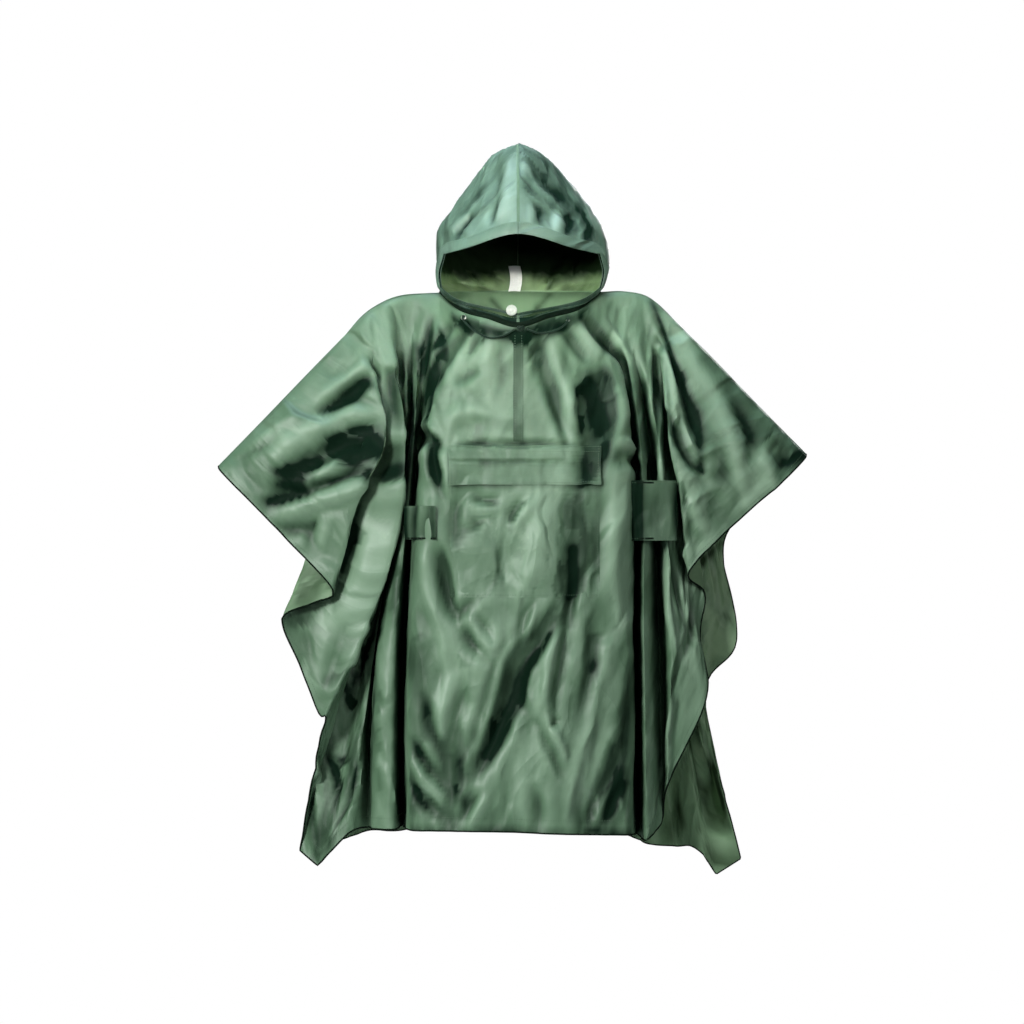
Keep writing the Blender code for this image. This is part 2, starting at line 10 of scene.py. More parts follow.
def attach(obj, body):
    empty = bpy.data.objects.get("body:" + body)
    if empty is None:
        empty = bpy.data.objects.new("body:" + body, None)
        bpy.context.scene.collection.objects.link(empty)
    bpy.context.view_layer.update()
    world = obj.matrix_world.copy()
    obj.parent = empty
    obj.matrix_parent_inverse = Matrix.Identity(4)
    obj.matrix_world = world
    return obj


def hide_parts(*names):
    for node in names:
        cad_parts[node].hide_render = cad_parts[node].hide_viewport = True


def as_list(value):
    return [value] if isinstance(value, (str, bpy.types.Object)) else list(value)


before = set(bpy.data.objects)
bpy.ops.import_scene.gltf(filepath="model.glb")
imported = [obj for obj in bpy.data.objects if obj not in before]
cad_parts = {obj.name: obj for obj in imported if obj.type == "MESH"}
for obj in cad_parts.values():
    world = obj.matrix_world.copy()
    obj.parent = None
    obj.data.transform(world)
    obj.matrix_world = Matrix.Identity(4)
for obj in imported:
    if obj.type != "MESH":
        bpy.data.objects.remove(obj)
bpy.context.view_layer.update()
mm = 0.001


# camera, floor and lights

cameraSetup = {
    "distance": 7.0,  # metres from the cloth
    "across": 1.784,  # metres of the garment's plane from side to side of the view
    "centre": (-0.0105, -0.3725),  # x and z at the middle of the view
    "clothDepth": -0.07,
    "sensor": 36.0,
    "farClip": 60.0,
}
floorDisc = {
    "height": -1.45,
    "radius": 3.0,
    "segments": 96,
    "colour": (0.93, 0.93, 0.93, 1.0),
    "rough": 0.8,
    "solidTo": 0.55,  # metres from the middle, then it fades out
    "goneAt": 1.35,
}
# the world lights the cloth with this, by height, and shows plain white
skyStops = ((0.30, (0.02, 0.02, 0.02)), (0.55, (0.20, 0.21, 0.21)), (0.85, (0.85, 0.92, 0.95)))
skyStrength = 0.28
studioLights = {
    "key": {
        "place": (-3.1, -3.6, 1.15), "aim": (0.0, 0.0, -0.35),
        "size": 1.1, "power": 298, "tint": (0.98, 1.0, 0.99),
    },
    "fill": {
        "place": (1.7, -4.1, 0.6), "aim": (0.0, 0.0, -0.3),
        "size": 1.6, "power": 62, "tint": (0.97, 0.99, 1.0),
    },
    "top": {
        "place": (-0.2, 0.0, 2.4), "aim": (0.0, 0.0, 0.0),
        "size": 1.8, "power": 60, "tint": (0.62, 0.86, 1.0),
    },
    "face": {
        "place": (0.1, -3.6, 0.95), "aim": (0.0, 0.1, 0.0),
        "size": 0.3, "power": 1.05, "tint": (1.0, 1.0, 0.96), "spread": 14,
    },
    "rear": {
        "place": (0.8, 3.8, 1.0), "aim": (0.0, 0.0, -0.4),
        "size": 1.8, "power": 90, "tint": (1.0, 1.0, 1.0),
    },
}


def feed(tree, node, sockets):
    # each socket takes a value, or a link from another node
    for key, value in sockets.items():
        if isinstance(value, bpy.types.NodeSocket):
            tree.links.new(value, node.inputs[key])
        else:
            node.inputs[key].default_value = value


def addNode(tree, kind, sockets, **settings):
    node = tree.nodes.new("ShaderNode" + kind)
    for key, value in settings.items():
        setattr(node, key, value)
    feed(tree, node, sockets)
    return node


def addRamp(tree, factor, stops):
    ramp = addNode(tree, "ValToRGB", {"Fac": factor})
    marks = ramp.color_ramp.elements
    for mark, (place, colour) in zip(marks, (stops[0], stops[-1])):
        mark.position = place
        mark.color = (*colour, 1)
    for place, colour in stops[1:-1]:
        marks.new(place).color = (*colour, 1)
    return ramp.outputs["Color"]


def mapped(tree, value, low, high, **settings):
    # value from the range low to the range high; None keeps 0 to 1
    sockets = {"Value": value}
    for name, pair in (("From", low), ("To", high)):
        if pair:
            sockets[name + " Min"], sockets[name + " Max"] = pair
    return addNode(tree, "MapRange", sockets, **settings).outputs["Result"]


def worked(tree, operation, *values, kind="Math", output=0):
    # a sum of sockets and plain numbers
    return addNode(tree, kind, dict(enumerate(values)), operation=operation).outputs[output]


def addCamera(setup):
    data = bpy.data.cameras.new("camera")
    data.sensor_width = setup["sensor"]
    data.lens = setup["sensor"] * setup["distance"] / setup["across"]
    data.clip_end = setup["farClip"]
    camera = bpy.data.objects.new("camera", data)
    x, z = setup["centre"]
    camera.location = (x, setup["clothDepth"] - setup["distance"], z)
    camera.rotation_euler = (math.radians(90), 0.0, 0.0)
    bpy.context.scene.collection.objects.link(camera)
    bpy.context.scene.camera = camera


def addAreaLight(name, spec):
    data = bpy.data.lights.new(name, "AREA")
    data.size = spec["size"]
    data.energy = spec["power"]
    data.color = spec["tint"]
    data.spread = math.radians(spec.get("spread", 180))
    light = bpy.data.objects.new(name, data)
    light.location = spec["place"]
    aim = Vector(spec["aim"]) - Vector(spec["place"])
    light.rotation_euler = aim.to_track_quat("-Z", "Y").to_euler()
    bpy.context.scene.collection.objects.link(light)


def addWorld():
    world = bpy.data.worlds.new("studio")
    bpy.context.scene.world = world
    world.use_nodes = True
    tree = world.node_tree
    tree.nodes.clear()
    way = addNode(tree, "TexCoord", {}).outputs["Generated"]
    height = addNode(tree, "SeparateXYZ", {0: way}).outputs["Z"]
    share = worked(tree, "MULTIPLY_ADD", height, 0.5, 0.5)
    room = addNode(tree, "Background", {"Color": addRamp(tree, share, skyStops), "Strength": skyStrength})
    seen = addNode(tree, "Background", {"Color": (1.0, 1.0, 1.0, 1.0), "Strength": 1.0})
    fromCamera = addNode(tree, "LightPath", {}).outputs["Is Camera Ray"]
    mix = addNode(tree, "MixShader", {"Fac": fromCamera, 1: room.outputs[0], 2: seen.outputs[0]})
    addNode(tree, "OutputWorld", {"Surface": mix.outputs[0]})


def addFloor(spec):
    bm = bmesh.new()
    bmesh.ops.create_circle(bm, cap_ends=True, radius=spec["radius"], segments=spec["segments"])
    bmesh.ops.translate(bm, verts=bm.verts, vec=(0, 0, spec["height"]))
    mesh = bpy.data.meshes.new("floor")
    bm.to_mesh(mesh)
    bm.free()
    floor = bpy.data.objects.new("floor", mesh)
    bpy.context.scene.collection.objects.link(floor)
    material = bpy.data.materials.new("paleFloor")
    material.use_nodes = True
    tree = material.node_tree
    place = addNode(tree, "TexCoord", {}).outputs["Object"]
    flatPart = worked(tree, "MULTIPLY", place, (1, 1, 0), kind="VectorMath")
    away = worked(tree, "LENGTH", flatPart, kind="VectorMath", output="Value")
    solid = (spec["solidTo"], spec["goneAt"])
    fade = mapped(tree, away, solid, (1.0, 0.0), interpolation_type="SMOOTHSTEP")
    look = {"Base Color": spec["colour"], "Roughness": spec["rough"], "Alpha": fade}
    feed(tree, tree.nodes["Principled BSDF"], look)
    mesh.materials.append(material)


addCamera(cameraSetup)
addWorld()
addFloor(floorDisc)
for lightName, lightSpec in studioLights.items():
    addAreaLight(lightName, lightSpec)
bpy.context.scene.view_settings.view_transform = "Standard"
print("stage set")


# the cut in millimetres: shoulder line, neckline and one row a fold

cut = {
    "wall": 0.8,
    "seamHalfGap": 0.5,
    "middleColumn": 5.0,  # widest column near the middle of a panel
    "sideColumn": 12.5,
    "rows": 146,
    "rowCrowding": 1.04,  # a little closer near the shoulders
    "stations": (0.0, 0.05, 0.14, 0.34, 0.67, 1.0),
    # station, then the share of the way to the chest in x, y and z
    "rounding": ((1, 0.08, 0.24, 0.05), (2, 0.34, 0.55, 0.30)),
    # the same for the sleeve's edge: share of the way, and of the depth
    "edgeRounding": ((0.0, 0.0), (0.13, 0.42), (0.38, 0.78)),
    "calmTimes": 3,
    "middleTo": 150,  # columns are close together out to here
    "crispFrom": 0.72,  # share of the way down where the hem's corners start to show
    "crispOver": 0.26,
    "neckFade": 0.2,
    "stillTo": 0.05,  # metres down from the shoulder
    "stillColumns": 5,
    "sharpAngle": 62,
}

# place along the line, x, y, z
shoulderLeft = (
    (-303, -303, 0, -61),
    (-262, -272, 0, -26),
    (-225, -241, 0, -5),
    (-185, -206, 0, 8),
    (-135, -136, 0, 13),
)
shoulderRight = (
    (142, 143, 0, 14),
    (187, 187, 0, 15),
    (231, 231, 0, 4),
    (262, 262, 0, -22),
    (275, 275, 0, -36),
)
neckFront = (
    (-135, -136, 0, 13),
    (-95, -101, -64, -19),
    (-50, -52, -108, -35),
    (0, 0, -123, -50),
    (50, 52, -108, -34),
    (97, 105, -64, -18),
    (142, 143, 0, 14),
)
neckBack = (
    (-135, -136, 0, 13),
    (-95, -101, 50, 17),
    (-50, -52, 80, 19),
    (0, 0, 88, 20),
    (50, 52, 80, 19),
    (97, 105, 50, 17),
    (142, 143, 0, 14),
)

# place, then chest, waist and end of the fold, each x, y, z
frontFolds = (
    (-303, -378, 0, -138, -452, 0, -215, -527, 0, -292),
    (-299, -374, -26, -147, -447, -28, -224, -520, -24, -302),
    (-288, -346, -50, -172, -425, -60, -254, -476, -48, -346),
    (-276, -303, -68, -227, -357, -74, -324, -404, -60, -419),
    (-262, -233, -84, -225, -280, -88, -350, -322, -76, -508),
    (-252, -237, -73, -226, -300, -77, -366, -358, -66, -531),
    (-243, -262, -60, -235, -350, -58, -402, -411, -50, -560),
    (-232, -243, -54, -232, -322, -54, -440, -382, -38, -640),
    (-222, -222, -70, -226, -272, -78, -490, -348, -50, -724),
    (-212, -196, -82, -214, -220, -86, -472, -336, -56, -730),
    (-204, -206, -50, -218, -238, -40, -500, -350, -26, -784),
    (-196, -216, -16, -226, -276, -2, -540, -384, 2, -968),
    (-187, -206, -18, -226, -262, 6, -575, -352, -16, -993),
    (-178, -196, -32, -230, -250, -16, -600, -296, -40, -934),
    (-169, -190, -8, -234, -252, 0, -640, -262, -8, -926),
    (-164, -188, -38, -235, -246, -62, -630, -250, -62, -925),
    (-157, -181, -64, -236, -213, -82, -620, -213, -88, -924),
    (-148, -173, -28, -240, -200, -10, -600, -202, -8, -922),
    (-136, -160, -102, -234, -184, -108, -560, -188, -104, -924),
    (-95, -120, -124, -242, -132, -128, -570, -142, -120, -924),
    (-50, -62, -133, -250, -60, -140, -580, -64, -136, -924),
    (0, 0, -137, -256, 0, -143, -580, 0, -138, -925),
    (50, 62, -133, -250, 58, -150, -580, 62, -150, -927),
    (97, 124, -124, -242, 122, -132, -570, 130, -126, -930),
    (142, 190, -102, -232, 193, -110, -560, 195, -106, -932),
    (156, 200, -32, -238, 203, -14, -600, 208, -22, -936),
    (168, 211, -82, -238, 219, -95, -610, 223, -90, -942),
    (180, 229, -28, -236, 247, -18, -600, 252, -36, -912),
    (192, 240, -66, -230, 264, -76, -560, 262, -48, -848),
    (204, 252, -50, -224, 280, -62, -500, 329, -44, -696),
    (216, 262, -30, -220, 292, -42, -450, 318, -36, -592),
    (228, 274, -26, -216, 311, -28, -395, 328, -26, -516),
    (240, 258, -84, -216, 283, -92, -350, 299, -80, -474),
    (254, 286, -70, -208, 336, -76, -300, 395, -60, -377),
    (266, 324, -50, -164, 390, -60, -240, 455, -48, -326),
    (273, 333, -26, -106, 416, -28, -192, 500, -24, -282),
    (275, 337, 0, -97, 421, 0, -184, 507, 0, -271),
)
backFolds = (
    (-303, -378, 0, -138, -452, 0, -215, -527, 0, -292),
    (-299, -374, 26, -147, -447, 28, -224, -520, 24, -302),
    (-288, -344, 50, -174, -420, 62, -262, -470, 52, -352),
    (-272, -300, 66, -232, -348, 78, -338, -392, 66, -430),
    (-252, -246, 84, -236, -280, 92, -400, -316, 84, -518),
    (-236, -254, 54, -240, -314, 50, -440, -362, 56, -584),
    (-220, -236, 66, -236, -276, 78, -520, -342, 74, -740),
    (-204, -232, 50, -236, -272, 46, -580, -350, 36, -940),
    (-180, -204, 88, -236, -226, 106, -600, -262, 108, -940),
    (-158, -184, 80, -240, -194, 70, -610, -220, 60, -938),
    (-135, -156, 108, -244, -156, 136, -610, -166, 150, -937),
    (-95, -108, 112, -250, -104, 110, -610, -112, 100, -936),
    (-50, -54, 124, -254, -48, 150, -610, -48, 164, -936),
    (0, 0, 118, -256, 8, 118, -610, 14, 108, -937),
    (50, 54, 124, -254, 62, 152, -610, 74, 168, -939),
    (97, 112, 112, -250, 118, 112, -610, 134, 102, -942),
    (142, 160, 108, -244, 170, 138, -610, 188, 150, -950),
    (166, 186, 80, -240, 206, 70, -610, 236, 64, -962),
    (188, 206, 88, -236, 236, 100, -600, 282, 94, -968),
    (208, 236, 46, -236, 276, 38, -620, 316, 34, -966),
    (220, 246, 58, -236, 292, 48, -690, 350, 24, -1012),
    (232, 258, 42, -234, 303, 31, -700, 393, 18, -984),
    (242, 264, 34, -230, 312, 28, -540, 331, 30, -700),
    (252, 272, 46, -226, 334, 40, -478, 386, 30, -600),
    (262, 284, 62, -206, 332, 70, -334, 366, 62, -424),
    (269, 318, 48, -164, 386, 58, -246, 452, 50, -332),
    (273, 333, 26, -106, 416, 28, -192, 500, 24, -282),
    (275, 337, 0, -97, 421, 0, -184, 507, 0, -271),
)


def smoothThrough(knots, values, at):
    # a smooth curve through values at knots, read at every point of at
    knots = np.asarray(knots, float)
    values = np.asarray(values, float)
    at = np.asarray(at, float)
    steps = np.diff(knots)
    shape = (-1,) + (1,) * (values.ndim - 1)
    slopes = np.diff(values, axis=0) / steps.reshape(shape)
    tangents = np.empty_like(values)
    tangents[0] = slopes[0]
    tangents[-1] = slopes[-1]
    before = steps[:-1].reshape(shape)
    after = steps[1:].reshape(shape)
    tangents[1:-1] = (slopes[:-1] * after + slopes[1:] * before) / (before + after)
    i = np.clip(np.searchsorted(knots, at, side="right") - 1, 0, len(steps) - 1)
    h = steps[i].reshape(shape)
    t = ((at - knots[i]) / steps[i]).reshape(shape)
    return (
        values[i] * (2 * t**3 - 3 * t**2 + 1)
        + tangents[i] * h * (t**3 - 2 * t**2 + t)
        + values[i + 1] * (3 * t**2 - 2 * t**3)
        + tangents[i + 1] * h * (t**3 - t**2)
    )


def alongLine(place, line):
    line = np.array(line, float)
    return smoothThrough(line[:, 0], line[:, 1:], np.atleast_1d(np.asarray(place, float)))


def runAlong(path):
    # how far along the path each of its points is
    return np.concatenate([[0.0], np.cumsum(np.linalg.norm(np.diff(path, axis=0), axis=1))])


def atMarks(marks, run, values):
    return np.stack([np.interp(marks, run, values[:, k]) for k in range(values.shape[1])], axis=1)


def gridRun(points, axis):
    # how far along its own row or column each point of a grid is
    steps = np.linalg.norm(np.diff(points, axis=axis), axis=2)
    start = np.zeros_like(np.take(points[:, :, 0], [0], axis=axis))
    return np.concatenate([start, np.cumsum(steps, axis=axis)], axis=axis)


def topPoints(places, neck):
    leftEnd = shoulderLeft[-1][0]
    rightEnd = shoulderRight[0][0]
    points = []
    for place in places:
        line = neck
        if place <= leftEnd:
            line = shoulderLeft
        if place >= rightEnd:
            line = shoulderRight
        points.append(alongLine(place, line)[0])
    return np.array(points)


def calmed(values):
    values = values.copy()
    for _ in range(cut["calmTimes"]):
        values[1:-1] = (values[:-2] + 2 * values[1:-1] + values[2:]) / 4
    return values


def foldNet(folds, side, neck):
    # folds by stations, side is -1 on the front
    rows = np.array(folds, float)
    top = topPoints(rows[:, 0], neck)
    chest, waist, end = rows[:, 1:4], rows[:, 4:7], rows[:, 7:10]
    net = np.zeros((len(rows), len(cut["stations"]), 3))
    net[:, 0], net[:, 3], net[:, 4], net[:, 5] = top, chest, waist, end
    across, depth = calmed(chest[:, 0]), calmed(chest[:, 1])
    for station, shareX, shareY, shareZ in cut["rounding"]:
        net[:, station, 0] = top[:, 0] + shareX * (across - top[:, 0])
        net[:, station, 1] = top[:, 1] + shareY * (depth - top[:, 1])
        net[:, station, 2] = top[:, 2] + shareZ * (chest[:, 2] - top[:, 2])
    for first, second in ((0, 1), (-1, -2)):
        for k, (share, depthShare) in enumerate(cut["edgeRounding"]):
            net[first, k] = top[first] + share * (chest[first] - top[first])
            net[second, k] = top[second] + share * (chest[second] - top[second])
            net[second, k, 1] = chest[second, 1] * depthShare
    net[:, 0, 1] += side * cut["seamHalfGap"]
    for edge in (0, -1):
        net[edge, 1:, 1] += side * cut["seamHalfGap"]
    return net * mm


def spreadColumns(net, folds):
    at = [0.0]
    for i in range(len(net) - 1):
        width = cut["middleColumn"] if abs(folds[i][0]) < cut["middleTo"] else cut["sideColumn"]
        reach = np.linalg.norm(net[i + 1, 3:] - net[i, 3:], axis=1).max() / mm
        count = max(4, math.ceil(reach / width))
        at += [i + (k + 1) / count for k in range(count)]
    return np.array(at)


def clothSurface(net, across, down, folds, side, neck, sharp):
    index = np.arange(len(net), dtype=float)
    wide = smoothThrough(index, net, across)
    deep = smoothThrough(cut["stations"], wide.transpose(1, 0, 2), down)
    # the hem turns sharply at the panel's cut corners
    ends = [0] + [[fold[0] for fold in folds].index(place) for place in sharp] + [len(net) - 1]
    bent = wide.copy()
    for first, last in zip(ends[:-1], ends[1:]):
        inside = (across >= first) & (across <= last)
        bent[inside] = smoothThrough(index[first : last + 1], net[first : last + 1], across[inside])
    crisp = np.clip((np.asarray(down) - cut["crispFrom"]) / cut["crispOver"], 0, 1)[:, None, None]
    deep += crisp * (smoothThrough(cut["stations"], bent.transpose(1, 0, 2), down) - deep)
    places = np.interp(across, index, [fold[0] for fold in folds])
    top = topPoints(places, neck)
    top[:, 1] += side * cut["seamHalfGap"]
    change = top * mm - deep[0]
    fade = np.clip(1 - np.asarray(down) / cut["neckFade"], 0, 1) ** 2
    return deep + fade[:, None, None] * change[None, :, :]


def flatPlaces(points, folds, across, corners):
    # where each point lies on the cut cloth, in metres: the side edges and the hem unrolled round it
    run = gridRun(points, 0)
    share = run / run[-1]
    border = runAlong(points[-1])
    starts = [fold[0] for fold in folds]
    left, right = [np.interp(starts.index(place), across, border) for place in corners]
    places = np.interp(across, np.arange(len(folds)), starts) * mm
    tipLeft, tipRight = places[0] - run[-1, 0], places[-1] + run[-1, -1]
    hem = right - left
    u = np.interp(border, [0, left, right, border[-1]], [tipLeft, -hem / 2, hem / 2, tipRight])
    v = np.interp(border, [0, left, right, border[-1]], [0, left, border[-1] - right, 0])
    flatTop = np.stack([places, np.zeros(len(places))], axis=1)
    flatEnd = np.stack([u, v], axis=1)
    return flatTop[None] + share[:, :, None] * (flatEnd - flatTop)[None]


def arcPlaces(points, middle):
    # metres round from a middle column and metres down from the first row
    u, v = gridRun(points, 1), gridRun(points, 0)
    return np.stack([u - u[:, middle : middle + 1], v], axis=2)


def gridNormals(points):
    across = np.gradient(points, axis=1)
    down = np.gradient(points, axis=0)
    normal = np.cross(down, across)
    return normal / np.maximum(np.linalg.norm(normal, axis=2, keepdims=True), 1e-12)


def gridTree(points):
    rows, cols = points.shape[:2]
    vertices = [Vector(p) for p in points.reshape(-1, 3)]
    faces = [
        (r * cols + c, (r + 1) * cols + c, (r + 1) * cols + c + 1, r * cols + c + 1)
        for r in range(rows - 1)
        for c in range(cols - 1)
    ]
    return BVHTree.FromPolygons(vertices, faces)


def lookAt(tree, x, z, side=-1):
    # the cloth straight behind a point, seen from the front or the back
    start = Vector((x * mm, side * 1.5, z * mm))
    return tree.ray_cast(start, Vector((0, -side, 0)))


def resample(path, step):
    path = np.array(path, float)
    run = runAlong(path)
    if len(path) > 2:
        path = smoothThrough(run, path, np.linspace(0, run[-1], 60))
        run = runAlong(path)
    return atMarks(np.linspace(0, run[-1], max(3, math.ceil(run[-1] / step) + 1)), run, path)


def flatPlace(hit, points, flat):
    r, c = divmod(hit[2], points.shape[1] - 1)
    corner, right, below = points[r, c], points[r, c + 1], points[r + 1, c]
    sides = np.stack([right - corner, below - corner], axis=1)
    s, t = np.clip(np.linalg.lstsq(sides, np.array(hit[0]) - corner, rcond=None)[0], 0, 1)
    return flat[r, c] + s * (flat[r, c + 1] - flat[r, c]) + t * (flat[r + 1, c] - flat[r, c])


# how a drawn line becomes a fold, or a place of painted shade or painted light, in the cloth
lineForm = {
    "step": 6.0,
    "jump": 0.04,  # a longer step means that the line went on to another fold
    "reach": 3.2,  # widths to each side
    "narrow": 0.55,  # share of the width left at the ends
    "blunt": 0.6,  # below 1 the ends come to full depth sooner
    "crest": (1.05, 0.62, 0.012),  # height, fall and softness of the ridge
    "shoulder": (0.16, 0.9, 1.9),  # the low rise beside it: height, fall and place
    "margin": 0.02,
    "rounding": 0.02,
}
# a place of painted shade or light has ragged but fairly crisp edges, softer on narrow lines
toneForm = {"edge": 0.9, "softness": (0.2, 3.2), "raggedWidth": 14}
# width and height of a facet and of the slow change between them, in metres
facetForm = {"cell": (0.021, 0.034), "drift": (0.05, 0.08), "cellShare": 1.2, "driftShare": 0.7}
facetSpread = 3.3
rippleForm = {"bend": (0.16, 0.2), "bendShare": 0.7, "crest": 0.42, "round": 0.02}
roomForm = {"lift": 0.0012, "look": 2.6, "use": 0.36, "most": 22 * mm}
reliefFull = 6 * mm  # cloth that stands out this far gets the most painted light, and cloth sunk this far the most painted shade


def creaseLines(creases, points, flat, side):
    # each crease, drawn as seen, is carried to the flat cloth it falls on
    tree = gridTree(points)
    lines = []
    for width, depth, lean, path in creases:
        runs, last = [[]], None
        marks = resample(path, lineForm["step"])
        for k, (x, z) in enumerate(marks):
            hit = lookAt(tree, x, z, side)
            here = None if hit[0] is None else flatPlace(hit, points, flat)
            if here is None or (last is not None and np.linalg.norm(here - last) > lineForm["jump"]):
                runs.append([])
            if here is not None:
                runs[-1].append((here[0], here[1], k / (len(marks) - 1)))
            last = here
        for run in runs:
            if len(run) > 2:
                run = np.array(run)
                for _ in range(4):
                    run[1:-1] = (run[:-2] + 2 * run[1:-1] + run[2:]) / 4
                lines.append((width, depth, lean, run))
    return lines


def besideLines(lines, flat):
    # each line with the cloth near it: which points, how far to one side, and how far along
    spots = flat.reshape(-1, 2)
    for width, depth, lean, run in lines:
        reach = width * mm * lineForm["reach"]
        low, high = run[:, :2].min(axis=0) - reach, run[:, :2].max(axis=0) + reach
        near = np.nonzero(np.all((spots > low) & (spots < high), axis=1))[0]
        if not len(near):
            continue
        best = np.full(len(near), np.inf)
        signed, share = np.zeros(len(near)), np.zeros(len(near))
        for a, b in zip(run[:-1], run[1:]):
            way = b[:2] - a[:2]
            off = spots[near] - a[:2]
            t = np.clip(off @ way / max(way @ way, 1e-12), 0, 1)
            far = np.linalg.norm(off - t[:, None] * way, axis=1)
            closer = far < best
            best[closer] = far[closer]
            cross = way[0] * off[:, 1] - way[1] * off[:, 0]
            signed[closer] = (np.sign(cross) * far)[closer]
            share[closer] = (a[2] + t * (b[2] - a[2]))[closer]
        yield width, depth, lean, near, signed, share


def creaseRelief(lines, flat):
    # how far the cloth stands out of its plain surface, in metres
    relief = np.zeros(flat.shape[0] * flat.shape[1])
    crest, fall, softness = lineForm["crest"]
    riseHeight, riseFall, risePlace = lineForm["shoulder"]
    for width, depth, lean, near, signed, share in besideLines(lines, flat):
        way = np.clip(share * (1 - 2 * lineForm["margin"]) + lineForm["margin"], 0, 1)
        taper = np.clip(np.sin(np.pi * way), 0, 1) ** lineForm["blunt"]
        spread = width * mm * (lineForm["narrow"] + (1 - lineForm["narrow"]) * taper)
        spread = spread * np.where(signed > 0, 1 + lean, 1 - lean)
        # straight slopes to a narrow bottom or crest, with a low rise beside them
        t = np.sqrt((signed / spread) ** 2 + lineForm["rounding"])
        slope = crest - fall * t
        fold = 0.5 * (slope + np.sqrt(slope**2 + softness))
        relief[near] += depth * mm * taper * (fold - riseHeight * np.exp(-riseFall * (t - risePlace) ** 2))
    return relief.reshape(flat.shape[:2])


def crumpled(u, v):
    # a value that steps from one small facet of the crumpled cloth to the next
    wide, tall = facetForm["cell"]
    cell = noise.voronoi((u / wide, v / tall, 1.7))[1][0]
    wide, tall = facetForm["drift"]
    drift = noise.noise((u / wide, v / tall, 2.2))
    return facetForm["driftShare"] * drift + facetForm["cellShare"] * noise.noise(cell * facetSpread)


def paintedShadeAndLight(tones, points, flat, side=-1):
    # painted shade and painted light along listed lines, carried onto the cloth they fall on
    tone = np.zeros(flat.shape[0] * flat.shape[1])
    rows = [(width, amount, 0.0, path) for width, amount, path in tones]
    spots = flat.reshape(-1, 2)
    least, thin = toneForm["softness"]
    lines = creaseLines(rows, points, flat, side)
    for width, amount, _, near, signed, _ in besideLines(lines, flat):
        ragged = min(width / toneForm["raggedWidth"], 1)
        gap = np.abs(signed) / (width * mm) + ragged * np.array([crumpled(u, v) for u, v in spots[near]])
        past = (gap - toneForm["edge"]) / max(least, thin / width)
        tone[near] += amount / (1 + np.exp(np.clip(past, -30, 30)))
    return tone.reshape(flat.shape[:2])


def softWaves(flat, waves, seed):
    # uneven ripples, longer down the cloth than across it
    shape = flat.shape[:2]
    total = np.zeros(shape[0] * shape[1])
    spots = flat.reshape(-1, 2)
    bendWide, bendTall = rippleForm["bend"]
    for k, (across, down, height, sharp) in enumerate(waves):
        shift = seed * 7.3 + k * 3.1
        values = np.empty(len(spots))
        for i, (u, v) in enumerate(spots):
            bend = noise.noise((u / bendWide + shift, v / bendTall, 4.2)) * rippleForm["bendShare"]
            values[i] = noise.noise((u / (across * mm) + bend, v / (down * mm) + bend, shift))
        if sharp:
            values = rippleForm["crest"] - np.sqrt(np.abs(values) + rippleForm["round"])
        total += values * height * mm
    return total.reshape(shape)


def roomBeside(points, normals, most):
    # how far the cloth may move before it meets another fold, on each side
    tree = gridTree(points)
    rooms = []
    for side in (1, -1):
        room = np.full(points.shape[:2], most)
        near = room.reshape(-1)
        for i, (start, normal) in enumerate(zip(points.reshape(-1, 3), normals.reshape(-1, 3))):
            way = Vector(normal * side)
            hit = tree.ray_cast(Vector(start) + way * roomForm["lift"], way, most * roomForm["look"])
            if hit[0] is not None:
                near[i] = min(most, roomForm["use"] * hit[3])
        rooms.append(room)
    return rooms


def ripple(points, flat, creases, waves, seed, hold, side=-1, most=roomForm["most"]):
    normals = gridNormals(points)
    relief = creaseRelief(creaseLines(creases, points, flat, side), flat)
    relief += softWaves(flat, waves, seed)
    relief *= hold
    out, back = roomBeside(points, normals, most)
    relief = np.where(relief > 0, out * np.tanh(relief / out), back * np.tanh(relief / back))
    return points + normals * relief[:, :, None], relief


def namedMesh(name, mesh, materials, slotName, nodes=()):
    obj = bpy.data.objects.new(name, mesh)
    bpy.context.scene.collection.objects.link(obj)
    for k, material in enumerate(materials):
        if k < len(mesh.materials):
            mesh.materials[k] = material
        else:
            mesh.materials.append(material)
    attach(obj, "root")
    if nodes:
        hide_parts(*nodes)
    return obj


def gridMesh(name, points, flat, relief=None, hole=None, tone=0.0, innerShadow=None):
    rows, cols = points.shape[:2]
    bm = bmesh.new()
    bmesh.ops.create_grid(bm, x_segments=cols - 1, y_segments=rows - 1, size=1.0)
    mesh = bpy.data.meshes.new(name)
    bm.to_mesh(mesh)
    bm.free()
    co = np.empty(len(mesh.vertices) * 3)
    mesh.vertices.foreach_get("co", co)
    co = co.reshape(-1, 3)
    c = np.rint((co[:, 0] + 1) / 2 * (cols - 1)).astype(int)
    r = np.rint((1 - co[:, 1]) / 2 * (rows - 1)).astype(int)
    mesh.vertices.foreach_set("co", points[r, c].reshape(-1))
    corner = np.empty(len(mesh.loops), int)
    mesh.loops.foreach_get("vertex_index", corner)
    mesh.uv_layers.new(name="cloth").data.foreach_set("uv", flat[r, c][corner].reshape(-1))
    if relief is not None:
        shade = np.clip(relief / reliefFull, -1, 1) + tone
        mesh.attributes.new("relief", "FLOAT", "POINT").data.foreach_set("value", shade[r, c])
    if innerShadow is not None:
        mesh.attributes.new("innerShadow", "FLOAT", "POINT").data.foreach_set("value", innerShadow[r, c])
    if hole:
        top, bottom, left, right = hole
        bm = bmesh.new()
        bm.from_mesh(mesh)
        gone = []
        for face in bm.faces:
            middleR = sum(r[vertex.index] for vertex in face.verts) / 4
            middleC = sum(c[vertex.index] for vertex in face.verts) / 4
            if top < middleR < bottom and left < middleC < right:
                gone.append(face)
        bmesh.ops.delete(bm, geom=gone, context="FACES")
        bm.to_mesh(mesh)
        bm.free()
    mesh.update()
    return mesh


